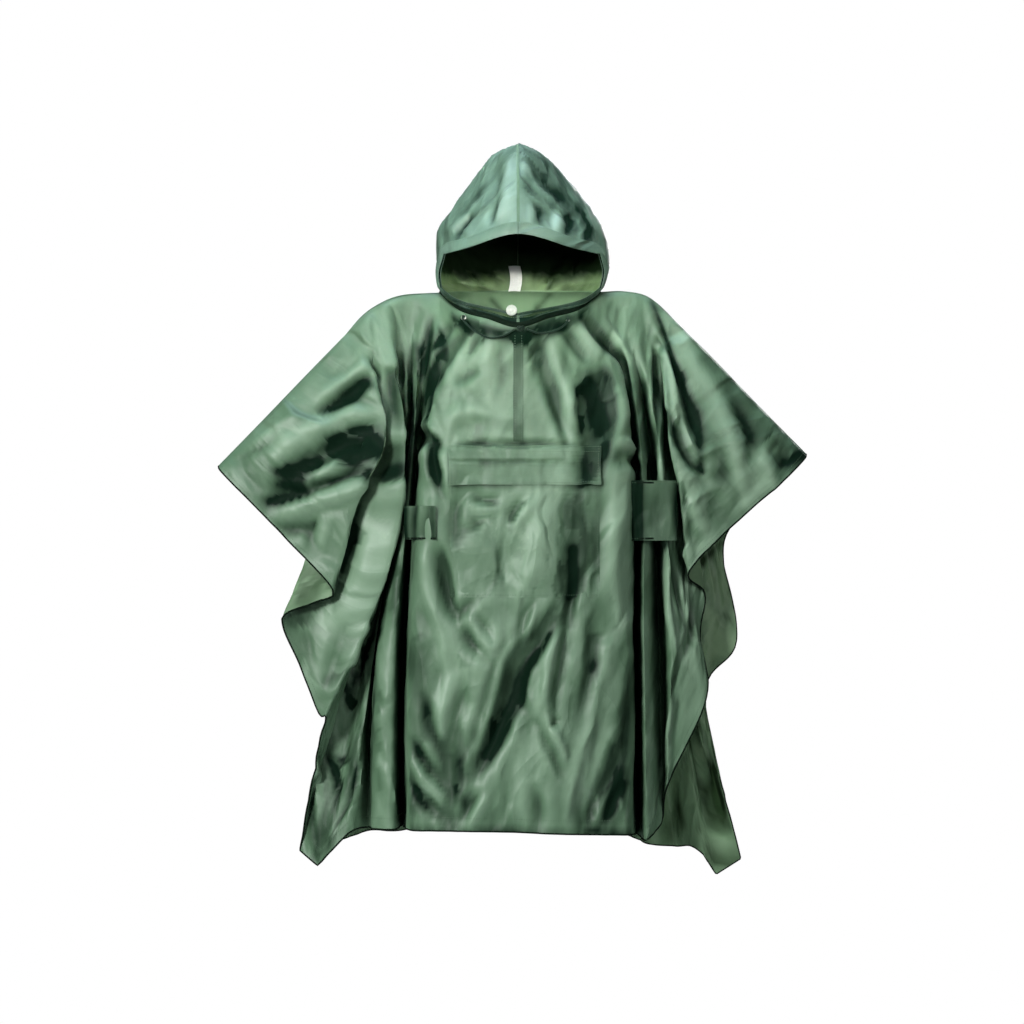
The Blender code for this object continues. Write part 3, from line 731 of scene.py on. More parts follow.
def smoothed(mesh, angle):
    mesh.polygons.foreach_set("use_smooth", np.ones(len(mesh.polygons), bool))
    mesh.set_sharp_from_angle(angle=math.radians(angle))
    return mesh


def givenWall(mesh, wall, innerMaterial=1):
    # thickens a sheet and keeps the result as plain mesh
    holder = bpy.data.objects.new("sheet", mesh)
    bpy.context.scene.collection.objects.link(holder)
    for _ in range(innerMaterial + 1):
        mesh.materials.append(None)
    solid = holder.modifiers.new("wall", "SOLIDIFY")
    solid.thickness = wall * mm
    solid.offset = 0.0
    solid.material_offset = innerMaterial
    view = bpy.context.evaluated_depsgraph_get()
    made = bpy.data.meshes.new_from_object(holder.evaluated_get(view))
    name = mesh.name
    bpy.data.objects.remove(holder)
    bpy.data.meshes.remove(mesh)
    made.name = name
    return smoothed(made, cut["sharpAngle"])


# finishes, all for the cloth as it is lit here: colours are linear
# the inside faces: a longer reach for painted shade in their folds, and painted shadow under the hood's brim
hidden = {"deep": (0.012, 0.026, 0.010), "rough": 0.56, "reach": 0.13, "innerShadow": 0.5}
finishes = {
    "outer": {
        "deep": (0.003, 0.0105, 0.0055),
        "middle": (0.069, 0.131, 0.074),
        "light": (0.150, 0.238, 0.155),
        "rough": 0.50,
        "reach": 0.036,  # how near other cloth has to be for a fold to count as deep and take painted shade
        "innerShadow": 0.0,
    },
    "inner": {**hidden, "middle": (0.098, 0.176, 0.090), "light": (0.160, 0.256, 0.138)},
    # painted sky reflection: the hood's copy of the cloth has bluer colours because it faces the sky
    "hood": {
        "deep": (0.006, 0.017, 0.011),
        "middle": (0.078, 0.140, 0.098),
        "light": (0.168, 0.256, 0.205),
        "rough": 0.46,
        "reach": 0.036,
        "innerShadow": 0.0,
    },
    "hoodInside": {**hidden, "middle": (0.104, 0.172, 0.070), "light": (0.165, 0.240, 0.104)},
    "thread": {"colour": (0.070, 0.130, 0.074), "rough": 0.65},
    # near black, for the painted shadows at the neck seam, the hem edges and the tabs' bar tacks
    "binding": {"colour": (0.004, 0.009, 0.005), "rough": 0.8, "shine": 0.04},
    "cord": {"colour": (0.006, 0.018, 0.010), "rough": 0.6},
    "label": {"colour": (0.55, 0.57, 0.53), "rough": 0.6},
    "stud": {"colour": (0.42, 0.44, 0.39), "rough": 0.36},
    "eyelet": {"colour": (0.62, 0.56, 0.52), "rough": 0.28},
}
clothStretch = (1.0, 0.5, 1.0)  # crumples run down the cloth
clothRamp = (0.12, 0.46, 0.82)  # where deep, middle and light stand
reliefLightShare, blotchShare = 0.55, 0.45
blotches = {"Scale": 9.0, "Detail": 4.0, "Roughness": 0.6}
bends = {"Scale": 16.0, "Detail": 2.0}
facets = {"Scale": 15.0, "Smoothness": 0.85}
crumples = {
    "Scale": 8.0, "Detail": 2.4, "Roughness": 0.55, "Lacunarity": 2.2,
    "Offset": 0.85, "Gain": 1.6, "Distortion": 0.5,
}
dents = {"Scale": 60.0, "Detail": 3.0, "Roughness": 0.55, "Distortion": 0.4}
weaveScale = 262.0
strandScale = 240.0
# how strong each layer of the cloth's bumps is, and how far it stands out in metres
bumps = {"facets": (1.0, 0.36), "crumples": (0.6, 0.006), "dents": (0.35, 0.0016), "weave": (0.12, 0.0002)}


def emptyMaterial(name):
    material = bpy.data.materials.new(name)
    material.use_nodes = True
    return material, material.node_tree, material.node_tree.nodes["Principled BSDF"]


def addBump(tree, height, strength, distance, under=None):
    sockets = {"Height": height, "Strength": strength, "Distance": distance}
    if under:
        sockets["Normal"] = under
    return addNode(tree, "Bump", sockets).outputs[0]


def coatedCloth(name, finish):
    # proofed nylon: a close weave under a coating, crumpled all over, with painted light where the cloth
    # stands out and painted shade where it sinks
    material, tree, shader = emptyMaterial(name)
    uv = addNode(tree, "TexCoord", {}).outputs["UV"]
    place = addNode(tree, "Mapping", {"Vector": uv, "Scale": clothStretch}).outputs[0]

    blotch = addNode(tree, "TexNoise", {"Vector": place, **blotches}).outputs["Fac"]
    # painted shade and light: the relief attribute holds the crease relief plus the listed dark and pale
    # places
    relief = addNode(tree, "Attribute", {}, attribute_name="relief").outputs["Fac"]
    reliefLight = mapped(tree, relief, (-1.0, 1.0), None, clamp=False)
    part = worked(tree, "MULTIPLY", blotch, blotchShare)
    blend = worked(tree, "MULTIPLY_ADD", reliefLight, reliefLightShare, part)
    # painted shadow: the inside is darker high up, where the hood's brim shades it
    innerShadow = addNode(tree, "Attribute", {}, attribute_name="innerShadow").outputs["Fac"]
    toneLessShadow = worked(tree, "MULTIPLY_ADD", innerShadow, -finish["innerShadow"], blend)
    colours = (finish["deep"], finish["middle"], finish["light"])
    colour = addRamp(tree, toneLessShadow, list(zip(clothRamp, colours)))
    # painted shade: the colour goes to the deep colour where other cloth is near, in the deep folds
    hollows = addNode(tree, "AmbientOcclusion", {"Color": colour, "Distance": finish["reach"]}, samples=6)
    clear = mapped(tree, hollows.outputs["AO"], (0.16, 0.64), None)
    foldShadeMix = {"Fac": clear, "Color1": (*finish["deep"], 1), "Color2": colour}
    foldShadedColour = addNode(tree, "MixRGB", foldShadeMix).outputs[0]

    dull = mapped(tree, blotch, None, (finish["rough"] - 0.08, finish["rough"] + 0.10))
    rough = worked(tree, "MAXIMUM", dull, mapped(tree, clear, None, (0.85, 0.0)))
    # the sheen falls away where the painted shade is dark or the fold is deep
    sheen = worked(tree, "MULTIPLY", mapped(tree, toneLessShadow, (0.08, 0.50), (0.02, 0.46)), clear)

    # facets that each lean their own way, then fine crumples, small dents and the weave
    bent = addNode(tree, "TexNoise", {"Vector": place, **bends}).outputs["Color"]
    shift = {"Fac": 0.035, "Color1": place, "Color2": bent}
    shifted = addNode(tree, "MixRGB", shift, blend_type="LINEAR_LIGHT").outputs[0]
    cells = addNode(tree, "TexVoronoi", {"Vector": shifted, **facets}, feature="SMOOTH_F1").outputs
    slope = worked(tree, "SUBTRACT", cells["Color"], (0.5, 0.5, 0.5), kind="VectorMath")
    away = worked(tree, "SUBTRACT", shifted, cells["Position"], kind="VectorMath")
    lean = worked(tree, "DOT_PRODUCT", slope, away, kind="VectorMath", output="Value")
    ridges = addNode(tree, "TexNoise", {"Vector": place, **crumples}, noise_type="RIDGED_MULTIFRACTAL")
    small = addNode(tree, "TexNoise", {"Vector": place, **dents})
    yarns = [
        addNode(tree, "TexWave", {"Vector": uv, "Scale": weaveScale}, bands_direction=way).outputs["Fac"]
        for way in ("X", "Y")
    ]
    normal = addBump(tree, lean, *bumps["facets"])
    normal = addBump(tree, ridges.outputs["Fac"], *bumps["crumples"], normal)
    normal = addBump(tree, small.outputs["Fac"], *bumps["dents"], normal)
    normal = addBump(tree, worked(tree, "ADD", *yarns), *bumps["weave"], normal)
    look = {"Base Color": foldShadedColour, "Roughness": rough, "Specular IOR Level": sheen, "Normal": normal}
    feed(tree, shader, look)
    return material


def plainFinish(name, finish, grain, metallic=0.0, depth=0.0001):
    material, tree, shader = emptyMaterial(name)
    place = addNode(tree, "TexCoord", {}).outputs["Object"]
    marks = addNode(tree, "TexNoise", {"Vector": place, "Scale": grain, "Detail": 3.0}).outputs["Fac"]
    shaded = [value * 0.78 for value in finish["colour"]]
    look = {
        "Base Color": addRamp(tree, marks, ((0.3, shaded), (0.7, finish["colour"]))),
        "Roughness": mapped(tree, marks, None, (finish["rough"] - 0.06, finish["rough"] + 0.08)),
        "Metallic": metallic,
        "Specular IOR Level": finish.get("shine", 0.5),
        "Normal": addBump(tree, marks, 0.4, depth),
    }
    feed(tree, shader, look)
    return material


def braidedFinish(name, finish):
    # two sets of strands that cross round the cord, on its own uv: along it in x, round it in y
    material, tree, shader = emptyMaterial(name)
    uv = addNode(tree, "TexCoord", {}).outputs["UV"]
    strands = []
    for turn in (45, -45):
        lay = {"Vector": uv, "Rotation": (0, 0, math.radians(turn))}
        wave = {"Vector": addNode(tree, "Mapping", lay).outputs[0], "Scale": strandScale}
        strands.append(addNode(tree, "TexWave", wave, bands_direction="X").outputs["Fac"])
    height = worked(tree, "MAXIMUM", *strands)
    # painted shade in the grooves between the strands, painted light on their crests
    dark, pale = [[value * share for value in finish["colour"]] for share in (0.45, 1.5)]
    look = {
        "Base Color": addRamp(tree, height, ((0.2, dark), (0.9, pale))),
        "Roughness": finish["rough"],
        "Specular IOR Level": 0.2,
        "Normal": addBump(tree, height, 0.8, 0.0004),
    }
    feed(tree, shader, look)
    return material


outerCloth = coatedCloth("coatedClothOutside", finishes["outer"])
# the hood's copy of the cloth, bluer as a painted sky reflection
skyTintedHoodCloth = coatedCloth("coatedClothHood", finishes["hood"])
innerCloth = coatedCloth("coatedClothInside", finishes["inner"])
threadFinish = plainFinish("sewingThread", finishes["thread"], 900.0)
shadowBindingFinish = plainFinish("shadowLineBinding", finishes["binding"], 800.0)
cordFinish = braidedFinish("braidedCord", finishes["cord"])
labelFinish = plainFinish("labelSatin", finishes["label"], 700.0)
studFinish = plainFinish("studPlastic", finishes["stud"], 250.0, depth=0.00004)
eyeletFinish = plainFinish("eyeletNickel", finishes["eyelet"], 600.0, metallic=1.0, depth=0.00003)
clothPair = [outerCloth, innerCloth]
hoodPair = [skyTintedHoodCloth, coatedCloth("coatedClothHoodInside", finishes["hoodInside"])]
print("finishes made")


# creases: width, depth in mm (minus sinks in), lean, then x and z down the crease as seen
chestCreases = (
    (15, -17, 0.2, ((-92, -58), (-122, -88), (-145, -124), (-157, -163), (-159, -210))),
    (8, 9, 0.0, ((-100, -50), (-147, -101), (-163, -150))),
    (11, -12, 0.0, ((-152, -34), (-166, -90), (-174, -147), (-179, -190))),
    (6, -5, 0.2, ((-112, -40), (-132, -70), (-150, -92))),
    (7, -6, 0.0, ((-62, -62), (-80, -84), (-92, -112))),
    (7, 4, 0.0, ((-40, -66), (-48, -92), (-66, -120))),
    (13, -6, 0.3, ((-66, -122), (-92, -138), (-112, -150))),
    (11, 6, 0.0, ((-122, -214), (-84, -198), (-46, -206))),
    (9, -5, 0.0, ((-34, -90), (-30, -130), (-38, -170))),
    (10, -10, -0.2, ((33, -66), (46, -130), (68, -192), (80, -235), (86, -271))),
    (9, 6, 0.0, ((52, -66), (70, -120), (86, -190), (92, -262))),
    (8, -9, -0.2, ((70, -48), (96, -76), (120, -108))),
    (8, 7, 0.0, ((92, -38), (118, -66), (142, -96))),
    (11, -14, -0.2, ((104, -22), (144, -65), (180, -112), (196, -160))),
    (7, 6, 0.0, ((132, -26), (168, -66), (198, -108))),
    (6, -5, 0.0, ((20, -64), (26, -100), (30, -140))),
    (24, -27, 0.1, ((130, -134), (142, -176), (150, -214), (156, -250))),
    (10, -11, 0.0, ((98, -158), (116, -168), (138, -186))),
    (9, -10, 0.0, ((100, -190), (118, -198), (140, -212))),
    (12, 8, 0.0, ((98, -140), (92, -180), (94, -230))),
    (12, 7, 0.0, ((168, -150), (178, -190), (178, -236))),
    (12, -13, 0.2, ((-186, -230), (-160, -244), (-130, -256))),
    (10, -10, 0.0, ((172, -262), (192, -282), (216, -294))),
    (8, 6, 0.0, ((168, -248), (190, -262), (214, -272))),
)
frontCreases = chestCreases + (
    # about the pocket
    (5, -5, 0.0, ((-116, -254), (-60, -253), (10, -254), (80, -254), (138, -255))),
    (11, -13, 0.0, ((-150, -262), (-144, -292), (-138, -330))),
    (10, 7, 0.0, ((-128, -260), (-124, -300), (-122, -340))),
    (20, -12, 0.0, ((112, -250), (118, -285), (120, -326))),
    (9, -7, 0.2, ((-80, -340), (-54, -352), (-30, -346))),
    (8, -6, 0.0, ((-46, -372), (-66, -388), (-100, -410))),
    (8, 6, 0.0, ((-90, -356), (-66, -368), (-38, -366))),
    (9, -10, 0.2, ((9, -346), (-4, -368), (-24, -390))),
    (8, 6, 0.0, ((24, -352), (8, -380), (-10, -404))),
    (12, -7, 0.0, ((-104, -350), (-112, -400), (-110, -440))),
    (15, 7, 0.0, ((40, -340), (35, -415), (20, -480), (-14, -540))),
    (22, -10, -0.2, ((82, -330), (84, -410), (84, -480), (80, -540))),
    (11, -9, 0.0, ((106, -330), (102, -420), (97, -510), (92, -560))),
    (15, 8, 0.0, ((165, -300), (166, -400), (168, -500), (172, -570))),
    (10, -7, 0.0, ((142, -330), (140, -420), (138, -500))),
    (8, -5, 0.0, ((-20, -420), (-30, -470), (-62, -520))),
    # below it
    (23, -26, 0.25, ((66, -556), (40, -592), (4, -634), (-14, -690), (-44, -770), (-68, -824))),
    (11, 11, -0.3, ((30, -560), (-20, -618), (-40, -690), (-68, -768), (-90, -812))),
    (9, -10, 0.0, ((26, -526), (10, -556), (0, -600))),
    (10, -10, 0.1, ((97, -512), (88, -556), (80, -618), (70, -672), (62, -738))),
    (10, 9, 0.0, ((68, -560), (56, -610), (46, -670), (30, -720))),
    (6, -9, 0.0, ((74, -728), (64, -738), (52, -742))),
    (14, 8, -0.2, ((166, -570), (150, -640), (128, -730), (98, -830), (86, -905))),
    (15, -12, 0.1, ((198, -640), (192, -730), (172, -810), (142, -872), (112, -912))),
    (9, 8, 0.0, ((170, -838), (148, -872), (128, -912))),
    (11, -10, 0.0, ((188, -836), (168, -866), (150, -906))),
    (10, -7, 0.0, ((128, -560), (126, -640), (112, -720))),
    (8, -9, -0.2, ((32, -732), (48, -772), (64, -802), (78, -834))),
    (7, 6, 0.0, ((50, -728), (66, -760), (84, -800))),
    (14, -15, 0.3, ((-132, -436), (-126, -490), (-116, -536), (-106, -560))),
    (10, -9, 0.0, ((-78, -520), (-92, -538), (-108, -558))),
    (13, 9, 0.0, ((-160, -440), (-146, -510), (-128, -590), (-122, -640))),
    (14, -9, 0.0, ((-100, -566), (-74, -604), (-46, -636))),
    (8, -6, 0.0, ((-72, -548), (-54, -580), (-40, -612))),
    (9, 7, 0.0, ((-84, -560), (-58, -596), (-34, -620))),
    (14, -9, -0.2, ((-88, -664), (-102, -706), (-116, -756), (-114, -810), (-104, -868))),
    (12, 8, 0.0, ((-112, -650), (-128, -710), (-132, -760))),
    (11, -10, 0.0, ((-162, -690), (-150, -744), (-132, -790), (-122, -850), (-110, -912))),
    (10, -11, 0.0, ((-182, -770), (-156, -812), (-130, -850))),
    (10, 8, 0.0, ((-184, -800), (-160, -840), (-136, -874))),
    (12, -11, 0.0, ((-186, -846), (-150, -880), (-116, -912))),
    (10, -7, 0.0, ((-70, -858), (-88, -884), (-104, -910))),
    (9, 7, 0.0, ((-52, -862), (-72, -890), (-84, -914))),
    (14, -6, 0.0, ((0, -640), (10, -700), (20, -760))),
    (16, 6, 0.0, ((-2, -800), (6, -850), (-4, -910))),
    (11, -6, 0.0, ((28, -850), (36, -884), (34, -918))),
    # left sleeve and the cascade under it
    (12, -10, 0.0, ((-258, -136), (-296, -166), (-340, -204))),
    (10, 8, 0.0, ((-262, -112), (-306, -146), (-352, -180))),
    (9, -7, 0.0, ((-266, -98), (-252, -120), (-238, -144))),
    (16, -15, 0.3, ((-226, -232), (-262, -244), (-296, -252), (-330, -270), (-372, -300), (-424, -330))),
    (13, 9, 0.0, ((-240, -196), (-290, -204), (-336, -222), (-386, -252), (-436, -282))),
    (28, -24, 0.0, ((-214, -286), (-246, -276), (-286, -250))),
    (16, -12, 0.0, ((-232, -330), (-236, -300), (-240, -262))),
    (12, -12, 0.2, ((-262, -300), (-312, -316), (-368, -334), (-440, -358))),
    (11, 8, 0.0, ((-256, -326), (-310, -344), (-368, -362), (-430, -384))),
    (10, -8, 0.0, ((-352, -392), (-384, -404), (-424, -398))),
    (8, -7, 0.0, ((-350, -384), (-360, -410), (-362, -436))),
    (9, 6, 0.0, ((-330, -376), (-340, -404), (-342, -440))),
    (13, -14, 0.0, ((-212, -90), (-208, -150), (-202, -230))),
    (9, -6, 0.0, ((-300, -60), (-330, -100), (-372, -142))),
    (10, 6, 0.0, ((-380, -200), (-420, -230), (-466, -256))),
    (8, -5, 0.0, ((-400, -216), (-436, -246), (-480, -276))),
    (9, -7, 0.0, ((-290, -420), (-300, -470), (-322, -520))),
    (10, 7, 0.0, ((-258, -410), (-262, -480), (-280, -560))),
    (12, -9, 0.0, ((-236, -420), (-242, -520), (-262, -600))),
    (10, -8, 0.0, ((-300, -560), (-318, -620), (-340, -680))),
    (9, 6, 0.0, ((-276, -600), (-294, -660), (-318, -720))),
    (10, -9, 0.0, ((-338, -800), (-318, -840), (-322, -900))),
    (10, 8, 0.0, ((-360, -790), (-352, -850), (-352, -920))),
    (9, -8, 0.0, ((-280, -800), (-290, -860), (-316, -920))),
    # right sleeve and what hangs from it
    (9, -11, 0.1, ((232, -2), (258, -66), (282, -143), (313, -256), (322, -300))),
    (8, 6, 0.0, ((258, -100), (276, -166), (298, -245), (311, -284))),
    (10, 11, 0.2, ((283, -68), (305, -109), (340, -157), (367, -210), (382, -245), (387, -297), (408, -360))),
    (14, -6, 0.0, ((330, -110), (366, -176), (398, -236), (402, -290))),
    (16, -16, 0.2, ((256, -196), (280, -240), (300, -278), (322, -314))),
    (16, -5, 0.0, ((322, -316), (344, -360), (366, -416))),
    (9, 9, 0.0, ((428, -262), (438, -300), (450, -336))),
    (14, -4, 0.0, ((450, -250), (462, -280), (470, -310))),
    (10, -13, 0.0, ((240, -80), (242, -160), (241, -250))),
    (11, -11, 0.0, ((230, -280), (234, -306), (232, -336))),
    (8, -7, 0.0, ((240, -66), (252, -84), (262, -88))),
    (9, 7, 0.0, ((262, -120), (272, -180), (276, -240))),
    (9, -6, 0.0, ((340, -70), (372, -116), (410, -160))),
    (8, 5, 0.0, ((356, -66), (392, -116), (430, -160))),
    (11, -9, 0.0, ((288, -330), (300, -390), (318, -450))),
    (10, 8, 0.0, ((270, -330), (282, -400), (300, -470))),
    (11, -10, 0.0, ((262, -420), (276, -500), (290, -570))),
    (10, 7, 0.0, ((250, -440), (262, -540), (276, -620))),
    (12, -10, 0.0, ((300, -500), (304, -560), (292, -630))),
    (10, -9, 0.0, ((318, -750), (304, -790), (290, -840), (294, -920))),
    (9, 7, 0.0, ((270, -700), (262, -780), (262, -860))),
)
backCreases = (
    # from the neck and the shoulders
    (12, -12, 0.1, ((-86, 0), (-112, -60), (-140, -130), (-150, -200))),
    (9, 7, 0.0, ((-70, -6), (-88, -70), (-108, -140))),
    (11, -10, -0.1, ((88, 0), (112, -52), (146, -118), (164, -190))),
    (9, 7, 0.0, ((70, -4), (92, -70), (122, -140))),
    (8, -6, 0.0, ((-34, 4), (-40, -60), (-54, -130))),
    (8, -7, 0.0, ((30, 4), (42, -52), (44, -120))),
    (8, 5, 0.0, ((0, 0), (-4, -60), (2, -110))),
    (16, -14, 0.2, ((-110, -150), (-96, -220), (-104, -290))),
    (14, -11, -0.2, ((96, -190), (116, -260), (112, -330))),
    (12, 8, 0.0, ((-60, -180), (-40, -250), (-46, -330))),
    (12, -8, 0.0, ((20, -160), (8, -240), (22, -320))),
    # the middle and the hem
    (26, -15, -0.2, ((-60, -430), (-30, -520), (10, -610), (26, -700))),
    (14, 10, 0.0, ((-20, -430), (10, -520), (44, -610))),
    (16, -10, 0.1, ((116, -420), (98, -510), (70, -600), (62, -690))),
    (12, -10, 0.0, ((-140, -380), (-128, -470), (-136, -570))),
    (11, 8, 0.0, ((-112, -400), (-100, -490), (-104, -590))),
    (14, -12, 0.0, ((30, -720), (2, -800), (-14, -880))),
    (13, 10, 0.0, ((66, -700), (48, -790), (36, -900))),
    (12, -11, 0.0, ((-70, -660), (-88, -750), (-80, -850))),
    (11, 8, 0.0, ((-42, -640), (-60, -730), (-52, -840))),
    (12, -11, 0.0, ((130, -700), (118, -800), (134, -900))),
    (10, 7, 0.0, ((158, -660), (150, -760), (160, -860))),
    (11, -9, 0.0, ((-150, -700), (-160, -790), (-150, -900))),
    (10, -8, 0.0, ((-24, -340), (6, -360), (30, -352))),
    (9, -7, 0.0, ((40, -400), (18, -424), (-10, -436))),
    # both sleeves
    (16, -16, 0.2, ((-222, -200), (-270, -230), (-330, -250), (-404, -292))),
    (12, 9, 0.0, ((-240, -176), (-296, -204), (-356, -226), (-424, -262))),
    (12, -11, 0.0, ((-270, -100), (-306, -150), (-352, -190))),
    (12, -10, 0.0, ((-262, -290), (-320, -320), (-390, -346))),
    (10, 7, 0.0, ((-250, -320), (-310, -350), (-376, -372))),
    (15, -15, 0.0, ((236, -20), (262, -90), (288, -170), (318, -260))),
    (11, 9, 0.0, ((268, -30), (300, -110), (330, -180))),
    (13, -12, 0.0, ((330, -110), (366, -180), (398, -250))),
    (12, -10, 0.0, ((262, -200), (290, -260), (330, -320))),
    (10, 7, 0.0, ((300, -260), (340, -310), (392, -340))),
    (12, -11, 0.0, ((-250, -470), (-258, -560), (-280, -650))),
    (11, 8, 0.0, ((-290, -600), (-306, -700), (-330, -800))),
    (12, -11, 0.0, ((262, -480), (276, -570), (270, -660))),
    (11, 8, 0.0, ((300, -700), (318, -800), (350, -900))),
    (10, -9, 0.0, ((330, -760), (350, -850), (366, -940))),
)

# painted shade and painted light: width, how much (below zero is painted shade), then x and z along them
frontShadeAndLight = (
    (24, -1.4, ((-244, -254), (-272, -256), (-300, -258))),
    (14, -1.1, ((-290, -274), (-320, -284), (-350, -294))),
    (8, -1.1, ((-346, -292), (-384, -297), (-424, -302))),
    (20, -0.6, ((-306, -304), (-330, -312), (-352, -318))),
    (10, -1.0, ((-360, -346), (-396, -350), (-434, -356))),
    (7, -0.8, ((-372, -334), (-396, -328), (-418, -324))),
    (4.5, -1.9, ((-258, -300), (-272, -350), (-287, -402), (-303, -456), (-321, -508))),
    (20, 0.9, ((-262, -400), (-268, -460), (-284, -520))),
    (5, 1.2, ((-226, -420), (-230, -520), (-252, -610))),
    # painted black shadow in the hollow between the sleeve's cascade and the pipe beside the front
    (12, -2.2, ((-236, -536), (-244, -580), (-252, -636))),
    (18, -2.2, ((-258, -600), (-276, -644), (-298, -684))),
    (3.5, -1.6, ((-254, -690), (-256, -780), (-256, -900))),
    (14, 0.7, ((-228, -560), (-230, -700), (-232, -900))),
    (15, -0.45, ((146, -74), (160, -112), (172, -150))),
    (10, -0.6, ((-150, -232), (-144, -262), (-142, -310))),
    # the small shade at the flap's end, and under its lines
    (12, -0.35, ((112, -272), (115, -298), (112, -322))),
    (2.4, -1.0, ((-100, -257), (10, -256), (96, -257))),
    (2.4, -0.9, ((-60, -287), (10, -286), (94, -288))),
    (2.4, -1.0, ((-124, -327), (0, -328), (146, -327))),
    (13, -0.8, ((-262, -148), (-296, -174), (-332, -200))),
    (17, -1.0, ((-148, -62), (-158, -120), (-160, -196))),
    (13, -0.9, ((-132, -150), (-140, -190))),
    (12, -0.7, ((-146, -292), (-140, -330))),
    (12, -1.2, ((-182, -90), (-190, -150), (-186, -210))),
    (15, -1.5, ((-112, -36), (-80, -52), (-40, -64), (-8, -68))),
    (15, -1.3, ((12, -68), (56, -56), (106, -36))),
    (12, -1.1, ((118, -150), (134, -186), (142, -232))),
    (12, -1.1, ((106, -156), (98, -196), (104, -226))),
    (11, -0.7, ((150, -262), (152, -290), (146, -318))),
    (4, -1.3, ((236, -4), (250, -36), (266, -79), (283, -136), (310, -214), (319, -262), (321, -304))),
    (10, -0.5, ((270, -210), (279, -254), (304, -296))),
    (4, 1.0, ((258, -100), (276, -166), (298, -245), (311, -284))),
    (13, -0.4, ((306, -112), (336, -180), (354, -240), (362, -300))),
    (22, -0.6, ((328, -84), (370, -146), (404, -206), (420, -250))),
    (8, 1.5, ((262, -30), (283, -68), (305, -109), (340, -157), (367, -210), (382, -245), (387, -297),
              (408, -360))),
    (13, 0.7, ((296, -322), (316, -376), (324, -430))),
    (16, 0.6, ((408, -286), (420, -326))),
    (17, -0.5, ((356, -272), (370, -330), (380, -384))),
    (8, -1.4, ((246, -150), (252, -200), (256, -258))),
    (7, -1.5, ((220, -150), (226, -215), (235, -300))),
    (4, 0.9, ((224, -197), (238, -250), (252, -304))),
    (15, -0.95, ((50, -586), (14, -646), (-14, -716), (-54, -794))),
    (11, -0.9, ((136, -640), (140, -700), (128, -760))),
    (16, -0.6, ((186, -830), (166, -880), (138, -912))),
    (9, -1.0, ((94, -440), (96, -480), (92, -516))),
    (12, -0.9, ((-92, -760), (-100, -820), (-96, -868))),
    (22, -0.7, ((-180, -600), (-178, -720), (-180, -880))),
    (34, -1.0, ((-326, -820), (-340, -880), (-350, -950))),
    (18, -1.0, ((-372, -474), (-352, -508), (-382, -548))),
    (13, -0.8, ((448, -252), (472, -260), (504, -271))),
    (13, -0.8, ((454, -316), (470, -296), (496, -277))),
    (12, -0.7, ((450, -282), (468, -280))),
    (24, 0.9, ((-292, -556), (-312, -596), (-334, -650))),
    (22, 0.8, ((300, -484), (292, -560), (300, -620))),
    (26, -0.7, ((-290, -780), (-300, -850))),
    (2.6, -1.6, ((-186, -922), (-90, -922), (0, -923), (110, -926), (196, -930))),
    (60, 0.7, ((20, -340), (20, -440), (4, -540), (-20, -600))),
    (26, 1.0, ((-228, -360), (-240, -430), (-262, -500), (-290, -552))),
    (28, 1.0, ((302, -322), (312, -372), (304, -424))),
    (14, 1.0, ((186, -262), (190, -400), (192, -560))),
    (26, 0.8, ((240, -440), (262, -520), (276, -600))),
    (12, 0.9, ((222, -560), (226, -700), (232, -900))),
    (24, 0.7, ((150, -760), (132, -810), (112, -860))),
    (30, 0.6, ((84, -600), (72, -690), (30, -780))),
    (34, 0.5, ((96, -80), (112, -110))),
    (42, 0.45, ((-50, -110), (-36, -170), (-30, -226))),
    (12, -0.6, ((-218, -300), (-214, -420), (-210, -560))),
    (10, 0.7, ((252, -440), (266, -500), (276, -560))),
    (26, 0.5, ((-120, -600), (-112, -700), (-100, -780))),
)
# painted shade and painted light on the back, seen from behind: width, how much, then x and z along them
backShadeAndLight = (
    (40, 1.1, ((352, -440), (362, -530), (366, -600))),
    (34, -1.1, ((336, -850), (354, -930), (362, -985))),
    (30, -0.9, ((-200, -300), (-260, -330), (-330, -360))),
    (30, -0.8, ((220, -120), (250, -190), (290, -260))),
    (20, -0.3, ((-60, -430), (-20, -540), (20, -640))),
    (20, -0.2, ((120, -430), (96, -540), (66, -660))),
    (40, 0.5, ((-20, -200), (10, -300), (20, -380))),
    (30, -0.6, ((-130, -700), (-150, -800), (-140, -900))),
    (24, -0.6, ((60, -760), (40, -830), (40, -910))),
)

frontPanel = {
    "node": "front_panel",
    "side": -1,
    "folds": frontFolds,
    "neck": neckFront,
    "creases": frontCreases,
    "tones": frontShadeAndLight,
    "corners": (-196, 180),
    "sharp": (-196, -187),
    "waves": ((95, 210, 4.0, False), (46, 96, 3.8, True), (28, 56, 2.2, True)),
    "seed": 3,
    "most": 30 * mm,
}
backPanel = {
    "node": "back_panel",
    "side": 1,
    "folds": backFolds,
    "neck": neckBack,
    "creases": backCreases,
    "tones": backShadeAndLight,
    "corners": (-204, 220),
    "sharp": (220, 232),
    "waves": ((105, 240, 6.0, False), (48, 104, 6.5, True), (30, 60, 3.6, True)),
    "seed": 8,
    "most": 30 * mm,
    # painted shade and light on its inner face, which shows at the neck and in the right cascade
    "inside": (
        (7, -1.1, ((300, -500), (340, -538), (381, -572), (390, -596))),
        (7, -1.8, ((362, -428), (332, -452), (300, -478))),
        (6, -1.4, ((318, -752), (298, -800), (284, -857), (296, -930))),
        (5, -1.0, ((308, -520), (318, -570), (334, -610))),
        (9, 0.7, ((262, -800), (256, -860), (262, -915))),
        (12, 0.6, ((326, -520), (346, -590))),
        (4, -1.3, ((-46, 4), (-24, -18), (-5, -36))),
        (3.5, -1.2, ((56, 14), (32, -12), (8, -34))),
        (5, -0.8, ((346, -830), (330, -880), (344, -930))),
    ),
}


